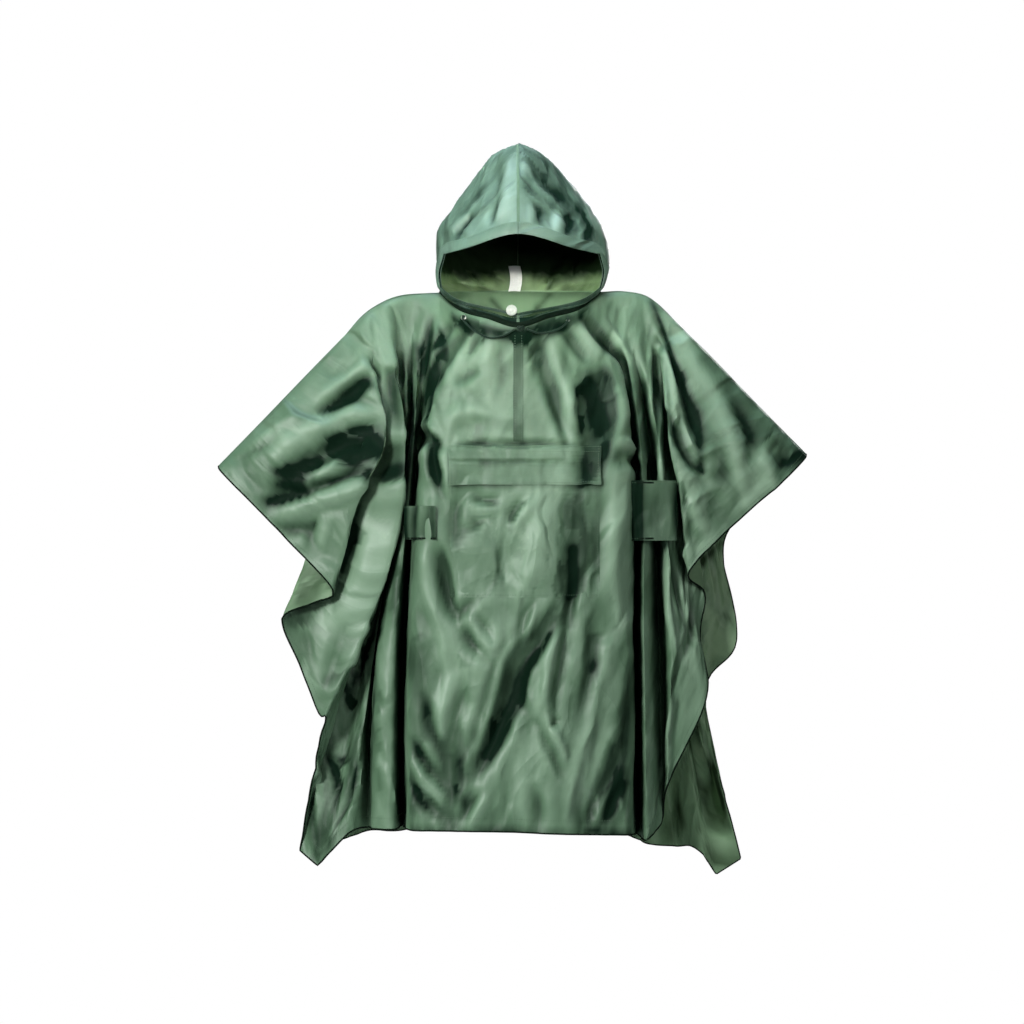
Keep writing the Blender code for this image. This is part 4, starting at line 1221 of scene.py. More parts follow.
def makePanel(name, spec):
    folds, side, neck = spec["folds"], spec["side"], spec["neck"]
    net = foldNet(folds, side, neck)
    across = spreadColumns(net, folds)
    down = np.linspace(0, 1, cut["rows"]) ** cut["rowCrowding"]
    points = clothSurface(net, across, down, folds, side, neck, spec["sharp"])
    flat = flatPlaces(points, folds, across, spec["corners"])
    if side > 0:
        points, flat = points[:, ::-1], flat[:, ::-1]
    # it lies still along the shoulder seam and at both edges
    edge = np.minimum(np.arange(len(across)), np.arange(len(across))[::-1])
    still = np.clip(edge / cut["stillColumns"], 0, 1)[None, :]
    hold = np.clip(flat[:, :, 1] / cut["stillTo"], 0, 1) * still
    tone = paintedShadeAndLight(spec["tones"], points, flat, side)
    if "inside" in spec:
        tone += paintedShadeAndLight(spec["inside"], points, flat, -side)
    creases, waves, seed, most = spec["creases"], spec["waves"], spec["seed"], spec["most"]
    points, relief = ripple(points, flat, creases, waves, seed, hold, side, most)
    mesh = givenWall(gridMesh(name, points, flat, relief, tone=tone), cut["wall"])
    namedMesh(name, mesh, clothPair, "coated_cloth", (spec["node"],))
    return points, relief


frontPoints, frontRelief = makePanel("frontPanel", frontPanel)
backPoints = makePanel("backPanel", backPanel)[0]
print("panels made")


# the hood in millimetres: one row a level from the neck seam to the ridge, and round each row
# front y z, quarter left right y z, side left right y z, back y z
hoodLevels = (
    (-122, -47, 103, 107, -66, -22, 137, 144, 0, 16, 88, 23),
    (-120, -33, 105, 110, -67, -10, 140, 149, -4, 26, 95, 40),
    (-116, -28, 106, 112, -66, -1, 142, 153, -6, 36, 101, 60),
    (-122, 40, 108, 116, -72, 40, 143, 158, -2, 56, 107, 88),
    (-131, 108, 92, 100, -99, 84, 142, 158, -4, 78, 112, 122),
    (-114, 152, 86, 92, -68, 130, 138, 147, 2, 126, 110, 166),
    (-86, 198, 62, 67, -44, 184, 103, 112, 6, 181, 94, 210),
    (-54, 240, 34, 37, -26, 234, 57, 62, 8, 228, 68, 244),
    (-24, 270, 0, 0, -8, 273, 0, 0, 8, 274, 34, 266),
)
hood = {
    "wall": 0.7,
    "places": (0.0, 0.27, 0.5, 0.76, 1.0),
    "faceLow": 2,
    "faceHigh": 4,
    "faceCorner": 0.4,
    "seamHalfGap": 0.35,
    "seamRise": 1.6,
    "waves": ((60, 74, 3.2, False), (30, 40, 5.0, True), (17, 24, 2.8, True)),
    "bandWidth": 20.0,
    "dampFrom": 34.0,  # painted shadow: the inside gets darker from here up, under the brim
    "dampOver": 45,
    "dampMost": 1.5,
    "crown": (15.0, 3.0),  # widening and rise of the blunt crown
    "crownLevels": (6, 2),  # where it starts, and over how many levels
    "crownShare": 9.5,
    "smoothLevels": (2.4, 8.0),  # between these it runs smoothly across the middle
    "round": (0.27, 0.72, 0.5),  # of the way from the side to the back
    "backShare": 0.35,  # of the tone that the creases behind give
    "still": (4, 3),  # rows and columns that lie flat beside the seams
    "besideHem": (5, 4),  # rows and columns over which the creases grow past the hem
    "hemFlat": 0.35,
    "hemLeast": 0.04,
    "chin": (1.5, 0.5, 0.1),  # level and place where its shade ends, and over how much
    "chinShade": 1.6,
    "cornerSteps": 13,
    "cornerTurn": (0.2, 0.6),  # of a half turn, from one corner of the face to the other
    "cornerLift": 2.0,
    "bandReach": (0.8, 0.24),  # share of the band's width, and how much more above than below
    "bandStart": (0.35, 0.06),  # first guess at its outer edge, in levels and places round
    "heart": (0.0, 0.0, 0.06),  # a place well inside it, in metres
}
hoodCreases = (
    (8, 5, 0.0, ((-64, 152), (-84, 122), (-104, 98))),
    (8, -5, 0.0, ((-78, 152), (-98, 124), (-118, 104))),
    (6, 4, 0.0, ((-86, 150), (-104, 130), (-122, 112))),
    (9, -6, 0.0, ((-36, 178), (-42, 150), (-46, 124))),
    (8, 4, 0.0, ((-26, 170), (-28, 146), (-30, 120))),
    (12, 5, 0.0, ((-16, 236), (-20, 200), (-20, 160), (-18, 120))),
    (6, -4, 0.0, ((-32, 220), (-36, 196), (-46, 170))),
    (6, -4, 0.2, ((-14, 184), (-4, 192), (0, 196))),
    (6, -4, 0.2, ((2, 194), (14, 192), (24, 176))),
    (6, 4, 0.0, ((13, 244), (12, 226), (8, 208))),
    (10, -6, 0.0, ((36, 214), (60, 192), (84, 166))),
    (8, 4, 0.0, ((26, 200), (46, 184), (66, 164))),
    (7, -6, 0.0, ((34, 160), (38, 142), (38, 118))),
    (6, 5, 0.0, ((22, 158), (22, 138), (20, 118))),
    (8, 7, 0.0, ((72, 152), (68, 130), (64, 106))),
    (7, -7, 0.0, ((94, 142), (88, 120), (82, 98))),
    (6, 6, 0.0, ((116, 130), (106, 112), (98, 92))),
    (6, -6, 0.0, ((130, 122), (122, 106), (114, 88))),
    (6, 5, 0.0, ((142, 106), (138, 92), (130, 80))),
    (10, -6, 0.0, ((-120, 90), (-130, 60), (-128, 30))),
    (9, 5, 0.0, ((-108, 84), (-114, 56), (-112, 20))),
    (10, -6, 0.0, ((132, 60), (142, 40), (140, 14))),
)
hoodBackCreases = (
    (9, 12, 0.0, ((-90, 74), (-66, 42), (-40, 10))),
    (10, -9, 0.0, ((-64, 84), (-46, 50), (-24, 16))),
    (8, 12, 0.0, ((58, 84), (54, 44), (36, 6))),
    (10, -9, 0.0, ((88, 78), (76, 46), (52, 12))),
    (7, 7, 0.0, ((22, 90), (20, 50), (12, 14))),
    (7, 6, 0.0, ((-120, 70), (-100, 40), (-70, 20))),
    (9, -5, 0.0, ((-20, 130), (-26, 90), (-20, 50))),
    (9, -6, 0.0, ((26, 160), (38, 120), (30, 80))),
    (12, 6, 0.0, ((-60, 180), (-72, 140), (-90, 100))),
    (11, -7, 0.0, ((-40, 200), (-56, 160), (-70, 124))),
    (11, -6, 0.0, ((70, 180), (86, 140), (94, 100))),
    (10, 5, 0.0, ((48, 206), (62, 166), (72, 130))),
    (9, -6, 0.0, ((-110, 90), (-106, 60), (-90, 34))),
    (9, -6, 0.0, ((118, 96), (112, 64), (98, 36))),
)
# painted shade and painted light on the hood, seen from the front, then seen from behind
hoodShadeAndLight = (
    (34, -0.9, ((46, 222), (84, 176), (118, 128))),
    (22, -0.5, ((112, 130), (138, 96), (140, 50))),
    (30, -0.4, ((-60, 190), (-90, 150), (-112, 110))),
    (18, 0.6, ((-12, 236), (-16, 190), (-14, 140))),
    (7, -0.9, ((40, 154), (36, 134), (38, 116))),
    (5, 1.0, ((64, 150), (60, 126), (62, 102))),
    (5, -1.1, ((88, 148), (86, 126), (84, 106))),
    (4, 1.0, ((104, 132), (106, 112), (104, 94))),
    (4, -1.0, ((121, 130), (120, 112), (114, 94))),
    (4, 0.9, ((134, 110), (130, 92), (124, 80))),
    (14, -0.6, ((18, 256), (34, 244), (50, 226))),
    (4, -0.7, ((-30, 236), (-30, 200), (-34, 160))),
    (5, 0.8, ((-52, 150), (-74, 120), (-92, 98))),
    (4, -0.7, ((-64, 156), (-86, 126), (-106, 102))),
    (4, 0.7, ((-80, 158), (-100, 130), (-118, 108))),
    (5, 0.6, ((-44, 206), (-58, 184), (-76, 160))),
    (4, -0.6, ((-54, 206), (-70, 184), (-90, 158))),
    (5, 0.7, ((14, 226), (26, 206), (44, 186))),
    (4, 0.6, ((-40, 176), (-30, 160), (-36, 136))),
    (4, -0.6, ((6, 214), (18, 196), (34, 180))),
)
hoodBackShadeAndLight = (
    (5, -1.4, ((-76, 52), (-60, 26), (-42, 0))),
    (5, -1.3, ((56, 56), (58, 34), (54, 12))),
    (4, -0.7, ((-20, 30), (-14, 10))),
    (6, -0.6, ((92, 44), (80, 20))),
    (30, -0.3, ((-110, 30), (0, 24), (110, 30))),
)


def hoodNet(side):
    net = []
    gap = hood["seamHalfGap"]
    for frontY, frontZ, quarterL, quarterR, quarterY, quarterZ, *rest in hoodLevels:
        sideL, sideR, sideY, sideZ, backY, backZ = rest
        quarterX, sideX = (quarterL, sideL) if side < 0 else (quarterR, sideR)
        front = np.array((gap, frontY, frontZ), float)
        quarter = np.array((max(quarterX, gap), quarterY, quarterZ), float)
        flank = np.array((max(sideX, gap), sideY, sideZ), float)
        back = np.array((gap, backY, backZ), float)
        rear = flank + (back - flank) * np.array(hood["round"])
        net.append((front, quarter, flank, rear, back))
    net = np.array(net)
    net[:, :, 0] *= side
    return net * mm


def neckSeam(around, side):
    end = shoulderLeft[-1][0] if side < 0 else shoulderRight[0][0]
    around = np.asarray(around, float)
    front = alongLine(end * np.clip(around, 0, 0.5) / 0.5, neckFront)
    back = alongLine(end * (1.0 - np.clip(around, 0.5, 1.0)) / 0.5, neckBack)
    point = np.where((around <= 0.5)[:, None], front, back)
    point[:, 0] = side * np.maximum(np.abs(point[:, 0]), hood["seamHalfGap"])
    point[:, 2] += hood["seamRise"]
    return point * mm


def hoodSurface(net, levels, places):
    side = np.sign(net[0, 2, 0])
    rings = smoothThrough(np.arange(len(net), dtype=float), net, levels)
    points = smoothThrough(hood["places"], rings.transpose(1, 0, 2), places).transpose(1, 0, 2)
    # the upper hood runs smoothly across the middle, the chin stays pointed
    mirrored = rings * np.array((-1, 1, 1))
    wide = np.concatenate([mirrored[:, 1:2], rings, mirrored[:, -2:-1]], axis=1)
    widePlaces = [-hood["places"][1], *hood["places"], 2 - hood["places"][-2]]
    across = smoothThrough(widePlaces, wide.transpose(1, 0, 2), places).transpose(1, 0, 2)
    first, last = hood["smoothLevels"]
    upper = np.clip(np.asarray(levels) - first, 0, 1) * np.clip(last - np.asarray(levels), 0, 1)
    points = points + upper[:, None, None] * (across - points)
    # a blunt crown
    start, span = hood["crownLevels"]
    climb = np.clip((np.asarray(levels) - start) / span, 0, 1)
    crown = hood["crownShare"] * climb**3 * (1 - climb)
    crown = crown[:, None] * np.sqrt(np.sin(math.pi * np.clip(places, 0, 1)))[None]
    points[:, :, 0] += side * crown * hood["crown"][0] * mm
    points[:, :, 2] += crown * hood["crown"][1] * mm
    own = smoothThrough(hood["places"], net[0], places)
    change = neckSeam(places, side) - own
    fade = np.clip(1.0 - np.asarray(levels), 0, 1)
    return points + fade[:, None, None] * change[None]


def hoodPoint(net, level, around):
    return hoodSurface(net, np.array([level]), np.array([around]))[0, 0]


def hoodNormal(net, level, around):
    step = 0.02
    low, high = max(level - step, 0.0), min(level + step, len(net) - 1.0)
    left, right = max(around - step, 0.0), min(around + step, 1.0)
    normal = np.cross(hoodPoint(net, high, around) - hoodPoint(net, low, around),
                      hoodPoint(net, level, right) - hoodPoint(net, level, left))
    normal /= np.linalg.norm(normal)
    outward = hoodPoint(net, level, around) - np.array(hood["heart"])
    return normal if normal @ outward > 0 else -normal


hoodNets = {"left": hoodNet(-1), "right": hoodNet(1)}
levelSteps = (4, 4, 9, 9, 8, 9, 8, 8)  # rows from one level to the next
faceColumns = 24
hoodAcross = np.concatenate([
    np.linspace(0, hood["faceCorner"], faceColumns + 1),
    np.linspace(hood["faceCorner"], 1.0, 41)[1:],
])
hoodUp = np.array([0.0] + [i + (k + 1) / count for i, count in enumerate(levelSteps) for k in range(count)])
holeRows = (sum(levelSteps[: hood["faceLow"]]), sum(levelSteps[: hood["faceHigh"]]))


def makeHood(side):
    name = "left" if side < 0 else "right"
    points = hoodSurface(hoodNets[name], hoodUp, hoodAcross)
    flat = arcPlaces(points, faceColumns)
    if side > 0:
        points, flat = points[:, ::-1], flat[:, ::-1]
    rows, columns = np.arange(points.shape[0]), np.arange(points.shape[1])
    edge = np.minimum(columns, columns[::-1])
    stillRows, stillColumns = hood["still"]
    hold = np.clip(edge / stillColumns, 0.0, 1)[None, :] * np.clip(rows / stillRows, 0, 1)[:, None]
    # flat under the hem that runs round the face
    fromFront = columns if side < 0 else columns[::-1]
    pastFace = np.maximum(rows - holeRows[1], holeRows[0] - rows)
    growRows, growColumns = hood["besideHem"]
    away = np.maximum(pastFace[:, None] / growRows, (fromFront[None, :] - faceColumns) / growColumns)
    hold *= np.clip(away - hood["hemFlat"], hood["hemLeast"], 1)
    tone = paintedShadeAndLight(hoodShadeAndLight, points, flat) + paintedShadeAndLight(hoodBackShadeAndLight, points, flat, 1)
    # the strip between the hem and the neck is in deep shade at the chin
    level, place, over = hood["chin"]
    chin = np.clip(level - hoodUp, 0, 1)[:, None] * np.clip((place - hoodAcross) / over, 0, 1)[None, :]
    tone -= hood["chinShade"] * (chin if side < 0 else chin[:, ::-1])
    # painted shadow inside the hood, darker higher up under the brim
    innerShadow = np.clip((points[:, :, 2] / mm - hood["dampFrom"]) / hood["dampOver"], 0, 1) * hood["dampMost"]
    points, backRelief = ripple(points, flat, hoodBackCreases, (), 0, hold, 1)
    points, relief = ripple(points, flat, hoodCreases, hood["waves"], 5 + side, hold)
    relief = relief + hood["backShare"] * backRelief
    last = len(hoodAcross) - 1
    hole = (*holeRows, 0, faceColumns) if side < 0 else (*holeRows, last - faceColumns, last)
    piece = "hood" + name.title()
    mesh = givenWall(gridMesh(piece, points, flat, relief, hole, tone, innerShadow), hood["wall"])
    namedMesh(piece, mesh, hoodPair, "coated_cloth", ("hood_" + name,))


makeHood(-1)
makeHood(1)


def facePath(steps):
    low, high, corner = hood["faceLow"], hood["faceHigh"], hood["faceCorner"]
    path = [(low, corner * k / steps, -1, 0) for k in range(steps)]
    start, span = hood["cornerTurn"]
    for share in np.linspace(0, 1, hood["cornerSteps"]):
        turn = math.sin(math.pi * (start + span * share))
        path.append((low + (high - low) * share, corner, 2 * share - 1, turn))
    path += [(high, corner * (1 - (k + 1) / steps), 1, 0) for k in range(steps)]
    return path


def faceBand(net, steps, gap, shares):
    rows = [[] for _ in shares]
    plain, more = hood["bandReach"]
    climb, swing = hood["bandStart"]
    for level, around, levelWay, roundWay in facePath(steps):
        here = hoodPoint(net, level, around)
        for row, share in zip(rows, shares):
            reach = share * hood["bandWidth"] * (plain + more * levelWay) * mm
            tall, wide = level + levelWay * share * climb, around + roundWay * share * swing
            # comes nearer to its reach with each turn
            for _ in range(5):
                gone = np.linalg.norm(hoodPoint(net, tall, wide) - here)
                if reach < 1e-9 or gone < 1e-9:
                    break
                tall, wide = level + (tall - level) * reach / gone, around + (wide - around) * reach / gone
            rise = (gap + hood["cornerLift"] * roundWay) * mm
            row.append(hoodPoint(net, tall, wide) + hoodNormal(net, tall, wide) * rise)
    return np.array(rows)


hemPoints, patchPoints, tabPoints = {}, {}, {}
hemBand = {
    "gap": 2.2,
    "shares": (0.0, 0.12, 0.35, 0.6, 0.85, 1.0),
    "steps": 24,
    "wall": 0.9,
    "shade": 1.15,
    "shadeOver": (3, 6),  # steps past the corner where it ends, and over how many
}
for side, name in ((-1, "Left"), (1, "Right")):
    band = faceBand(hoodNets[name.lower()], hemBand["steps"], hemBand["gap"], hemBand["shares"])
    if side < 0:
        band = band[:, ::-1]
    hemPoints[name] = band
    flat = arcPlaces(band, 0)
    # painted shade on the chin side of the hem, for the shadow of the face
    past, over = hemBand["shadeOver"]
    low = np.clip((hemBand["steps"] + past - np.arange(band.shape[1])) / over, 0, 1)
    low = low[::-1] if side < 0 else low
    tone = np.broadcast_to(-hemBand["shade"] * low, band.shape[:2])
    mesh = givenWall(gridMesh("hoodHem" + name, band, flat, 0 * tone, tone=tone), hemBand["wall"])
    namedMesh("hoodHem" + name, mesh, hoodPair, "coated_cloth", ("hood_hem_" + name.lower(),))
print("hood made")


# what is sewn on the front: left, right, top, bottom in millimetres
patches = {
    "pocketCloth": {"node": "pocket", "box": (-118, 141, -284, -520), "grid": (64, 58)},
    "pocketFlap": {"node": "pocket_flap", "box": (-121, 144, -258, -326), "grid": (64, 34)},
    "placketCloth": {"node": "placket", "box": (-8, 9, -66, -250), "grid": (7, 46)},
}
patchWall = 0.7
placketTone = {"top": 1.5, "topOver": 0.1, "sides": (0.62, 0.36)}


def blurred(values, times):
    values = values.copy()
    for _ in range(times):
        inner = values.copy()
        inner[1:-1] = (values[:-2] + 2 * values[1:-1] + values[2:]) / 4
        values = inner.copy()
        values[:, 1:-1] = (inner[:, :-2] + 2 * inner[:, 1:-1] + inner[:, 2:]) / 4
    return values


def laidPatch(tree, spec, liftAt):
    left, right, top, bottom = spec["box"]
    cols, rows = spec["grid"]
    points, relief = np.zeros((rows, cols, 3)), np.zeros((rows, cols))
    for r in range(rows):
        for c in range(cols):
            x = left + (right - left) * c / (cols - 1)
            z = top + (bottom - top) * r / (rows - 1)
            place, _, face, _ = lookAt(tree, x, z)
            points[r, c] = place
            # the panel's relief carries over, so the patch takes the same painted light and shade
            relief[r, c] = frontRelief[divmod(face, frontPoints.shape[1] - 1)]
    points = blurred(points, 2)
    normals = gridNormals(points)
    s = np.linspace(0, 1, cols)[None, :]
    t = np.linspace(0, 1, rows)[:, None]
    return points + normals * (liftAt(s, t) * mm)[:, :, None], relief


frontTree = gridTree(frontPoints)


# how far each stands off the front in millimetres, by shares of its width and height
pocketForm = {"sewn": 0.25, "swell": 1.9, "rim": 6}
flapForm = {
    "sewn": 1.4,
    "swell": (4.2, 0.35),  # and how soon it is reached
    "wave": (0.8, 6.5, 0.6),  # height, pace and start
    "crease": (1.7, 0.4, 0.045),  # depth, place and width
    "creaseEnd": (0.8, 8),  # where it ends, and how sharply
}
placketForm = {"sewn": 1.5, "swell": 0.5}


def pocketLift(s, t):
    near = np.clip(np.minimum(np.minimum(s, 1 - s), 1 - t) * pocketForm["rim"], 0, 1)
    return pocketForm["sewn"] + pocketForm["swell"] * near * near * (3 - 2 * near)


def flapLift(s, t):
    swell, soon = flapForm["swell"]
    height, pace, start = flapForm["wave"]
    depth, place, width = flapForm["crease"]
    end, sharp = flapForm["creaseEnd"]
    crease = depth * np.exp(-(((t - place) / width) ** 2)) * np.clip(sharp * (end - s), 0, 1)
    wave = height * np.sin(pace * s + start) * t
    return flapForm["sewn"] + np.clip(t / soon, 0, 1) * swell + wave - crease


def placketLift(s, t):
    return placketForm["sewn"] + placketForm["swell"] * np.sin(np.pi * s) + 0 * t


for name, lift in (("pocketCloth", pocketLift), ("pocketFlap", flapLift), ("placketCloth", placketLift)):
    points, relief = laidPatch(frontTree, patches[name], lift)
    patchPoints[name] = points
    flat = arcPlaces(points, 0)
    tone = paintedShadeAndLight(frontShadeAndLight, points, flat)
    # painted shade on the placket: dark at its top under the hood's rim, and darker towards its left side
    if name == "placketCloth":
        fromTop = np.linspace(0, 1, len(points)) / placketTone["topOver"]
        tone -= placketTone["top"] * np.exp(-(fromTop**2))[:, None]
        tone -= np.linspace(*placketTone["sides"], points.shape[1])[None, :]
    mesh = givenWall(gridMesh(name, points, flat, relief, tone=tone), patchWall)
    namedMesh(name, mesh, clothPair, "coated_cloth", (patches[name]["node"],))
print("patches laid")


# side tabs: x, y from one end to the other in millimetres, then top and bottom, the folds they take, and
# bands of painted shade
sideTabs = {
    "left": {
        "line": ((-196, -98), (-190, -108), (-182, -115), (-170, -122), (-156, -129), (-142, -134)),
        "span": (-362, -420),
        "folds": ((-178, 5, -3.5), (-166, 6, 2.0), (-152, 5, -2.5)),
        "dark": ((-196, 6, -1.4), (-170, 40, -0.5), (-146, 6, -0.6)),
    },
    "right": {
        "line": ((184, -117), (199, -117), (214, -113), (229, -109), (244, -107), (260, -105), (276, -103)),
        "span": (-318, -422),
        "folds": ((194, 15, -9.0), (211, 4, -2.0), (228, 14, 2.5), (258, 16, 1.5), (280, 8, -6.0)),
        "dark": ((192, 15, -2.0), (212, 5, -0.6), (240, 60, -0.85)),
    },
}
tabCloth = {
    "step": 2.0,
    "rows": 30,
    "waves": ((36, 60, 2.4, False), (20, 44, 1.2, True)),
    "seed": 31,
    "drift": (3.0, 30),  # the folds sway by this much, over this height
}
for name, spec in sideTabs.items():
    line = resample(spec["line"], tabCloth["step"])
    top, bottom = spec["span"]
    heights = np.linspace(top, bottom, tabCloth["rows"])
    points = np.array([[(x, y, z) for x, y in line] for z in heights]) * mm
    flat = arcPlaces(points, 0)
    stand = softWaves(flat, tabCloth["waves"], tabCloth["seed"])
    across = points[:, :, 0] / mm
    most, over = tabCloth["drift"]
    drift = most * np.sin((points[:, :, 2] / mm - top) / over)
    for x, width, depth in spec["folds"]:
        stand += depth * mm * np.exp(-(((across - x - drift) / width) ** 2))
    # painted shade across each tab, on top of the painted light and shade that its folds give through the
    # relief
    tone = sum(amount * np.exp(-(((across - x) / width) ** 2)) for x, width, amount in spec["dark"])
    points = points + gridNormals(points) * stand[:, :, None]
    tabPoints[name] = points
    mesh = givenWall(gridMesh("sideTab" + name.title(), points, flat, stand, tone=tone), cut["wall"])
    namedMesh("sideTab" + name.title(), mesh, clothPair, "coated_cloth", ("side_tab_" + name,))
print("tabs made")


def tubeGrid(path, halfWide, halfHigh, sides, up=(0, 0, 1)):
    # rings round a path, one row a ring, and their places along and round it
    path = np.array(path, float)
    along = np.gradient(path, axis=0)
    along /= np.linalg.norm(along, axis=1, keepdims=True)
    aside = np.cross(along, np.broadcast_to(np.array(up, float), path.shape))
    aside /= np.maximum(np.linalg.norm(aside, axis=1, keepdims=True), 1e-9)
    over = np.cross(aside, along)
    turn = np.linspace(0, 2 * math.pi, sides + 1)
    rings = (
        path[:, None]
        + aside[:, None] * (halfWide * np.cos(turn))[None, :, None]
        + over[:, None] * (halfHigh * np.sin(turn))[None, :, None]
    )
    run = runAlong(path)
    flat = np.stack(np.broadcast_arrays(run[:, None], turn[None, :] * max(halfWide, halfHigh)), axis=2)
    return rings, flat


def closedTube(name, rings, flat):
    mesh = gridMesh(name, rings, flat)
    bm = bmesh.new()
    bm.from_mesh(mesh)
    bmesh.ops.remove_doubles(bm, verts=bm.verts, dist=0.01 * mm)
    bmesh.ops.holes_fill(bm, edges=[edge for edge in bm.edges if edge.is_boundary])
    bm.to_mesh(mesh)
    bm.free()
    return smoothed(mesh, cut["sharpAngle"])


def evenly(path, step):
    path = np.array(path, float)
    run = runAlong(path)
    return atMarks(np.linspace(0, run[-1], max(3, round(run[-1] / step))), run, path)


# felled seams: a flat roll of cloth laid over each join, half its width and half its height
seamRolls = {
    "join": (2.6, 0.85),
    "neck": (3.4, 5.4),
    "nape": (1.6, 1.6),
    "frontHem": (1.5, 1.5),
    "backHem": (1.2, 1.2),
    "barTack": (1.9, 0.9),
}
seamStep = 4.0
seamSides = 10


def addSeam(name, path, roll, up, finish=outerCloth):
    halfWide, halfHigh = seamRolls[roll]
    path = evenly(path, seamStep * mm)
    rings, flat = tubeGrid(path, halfWide * mm, halfHigh * mm, seamSides, up)
    namedMesh(name, closedTube(name, rings, flat), [finish], "coated_cloth")


def hoodSeamPath():
    net = hoodNets["left"]
    top = len(net) - 1.0
    front = [hoodPoint(net, level, 0.0) for level in np.linspace(hood["faceHigh"], top, 40)]
    ridge = [hoodPoint(net, top, around) for around in np.linspace(0.05, 1.0, 16)]
    back = [hoodPoint(net, level, 1.0) for level in np.linspace(top, 0, 60)[1:]]
    path = np.array(front + ridge + back)
    path[:, 0] = 0.0
    # it stands on the outside of the join
    along = np.gradient(path, axis=0)
    out = np.cross(along, (1.0, 0.0, 0.0))
    out *= np.sign(np.sum(out * (path - (0.0, 0.0, 0.1)), axis=1))[:, None]
    return path + out / np.maximum(np.linalg.norm(out, axis=1, keepdims=True), 1e-9) * 0.5 * mm


hoodSeamLine = hoodSeamPath()
seamUps = np.cross(np.gradient(evenly(hoodSeamLine, seamStep * mm), axis=0), (1.0, 0.0, 0.0))
addSeam("hoodSeam", hoodSeamLine, "join", seamUps)
chin = np.array([hoodPoint(hoodNets["left"], level, 0.0) for level in np.linspace(0, hood["faceLow"], 12)])
chin[:, 0] = 0.0
addSeam("chinSeam", chin, "join", (0, -1, 0))


def neckLine(first, last):
    # round the neck from one share of the way to another: 0 is the chin, 1 the nape
    around = np.linspace(first, last, 40)
    line = np.concatenate([neckSeam(around, -1)[::-1], neckSeam(around, 1)])
    line[:, 2] -= hood["seamRise"] * mm * 0.5
    return line


# the neck seam, near black and thick as a painted shadow under the hood's hem
addSeam("neckSeamShadow", neckLine(0.0, 0.5), "neck", (0, 0, 1), shadowBindingFinish)
for name, half in zip(("Left", "Right"), np.split(neckLine(0.5, 1.0), 2)):
    addSeam("napeSeam" + name, half, "nape", (0, 0, 1), innerCloth)


def shoulderLine(side):
    # from the neck out along the shoulder and down the sleeve's upper edge
    places = [fold[0] for fold in frontFolds]
    columns = spreadColumns(foldNet(frontFolds, -1, neckFront), frontFolds)
    columns = np.interp(columns, np.arange(len(places)), places)
    if side < 0:
        inner = int(np.searchsorted(columns, shoulderLeft[-1][0]))
        line = np.concatenate([frontPoints[0, : inner + 1][::-1], frontPoints[1:, 0]])
    else:
        inner = int(np.searchsorted(columns, shoulderRight[0][0]))
        line = np.concatenate([frontPoints[0, inner:], frontPoints[1:, -1]])
    line[:, 1] = 0.0
    return line


for side, name in ((-1, "Left"), (1, "Right")):
    addSeam("shoulderSeam" + name, shoulderLine(side), "join", (0, 0, 1))
# the turned edge of both hems, near black as a painted shadow under them
addSeam("frontHemEdge", frontPoints[-1], "frontHem", (0, -1, 0), shadowBindingFinish)
addSeam("backHemEdge", backPoints[-1], "backHem", (0, -1, 0), shadowBindingFinish)
print("seams closed")


# drawcords: knots of the route in millimetres, from the eyelet to the knot under the chin
cords = {
    "drawcordLeft": {
        "node": "drawcord_left",
        "route": (
            (-93.77, -82.69, -33.78),
            (-95.68, -87.78, -31.13),
            (-95.0, -98.07, -38.98),
            (-86.72, -106.44, -49.1),
            (-69.86, -114.85, -62.54),
            (-47.99, -123.57, -71.3),
            (-24.61, -129.21, -67.6),
            (-6.72, -130.6, -57.08),
        ),
    },
    "drawcordRight": {
        "node": "drawcord_right",
        "route": (
            (84.7, -90.89, -37.74),
            (86.54, -96.32, -34.72),
            (84.36, -108.21, -43.68),
            (74.93, -113.65, -52.86),
            (57.43, -120.31, -60.51),
            (35.88, -125.88, -63.28),
            (15.75, -129.59, -57.05),
        ),
    },
    "radius": 1.7,
    "spacing": 4.0,
}
knot = {"place": (4.66, -129.68, -55.16), "halfSize": (7.0, 4.2, 5.5), "radius": 1.7}


def cordRoute(knots, spacing):
    knots = np.array(knots, float)
    at = np.concatenate([[0.0], np.cumsum(np.sqrt(np.diff(runAlong(knots))))])
    fine = smoothThrough(at, knots, np.linspace(0, at[-1], 400))
    return evenly(fine * mm, spacing * mm)


def addKnot(spec):
    # an overhand knot drawn tight: a three-lobed loop of the cord, squeezed into its space
    turn = np.linspace(0, 2 * math.pi, 121)
    x, z = np.sin(turn) + 2 * np.sin(2 * turn), np.cos(turn) - 2 * np.cos(2 * turn)
    loop = np.stack([x, np.sin(3 * turn), z], axis=1)
    loop /= np.abs(loop).max(axis=0)
    loop = loop * (np.array(spec["halfSize"]) - spec["radius"]) + np.array(spec["place"])
    radius = spec["radius"] * mm
    rings, flat = tubeGrid(loop * mm, radius, radius, 10, (0.05, -1, 0.1))
    mesh = closedTube("cordKnot", rings, flat)
    return namedMesh("cordKnot", mesh, [cordFinish], "drawcord", ("cord_knot",))


knotPiece = addKnot(knot)
for name in ("drawcordLeft", "drawcordRight"):
    path = cordRoute(cords[name]["route"], cords["spacing"])
    radius = cords["radius"] * mm
    rings, flat = tubeGrid(path, radius, radius, 12)
    piece = namedMesh(name, closedTube(name, rings, flat), [cordFinish], "drawcord", (cords[name]["node"],))
    length = float(runAlong(path)[-1])
print("cords hung")


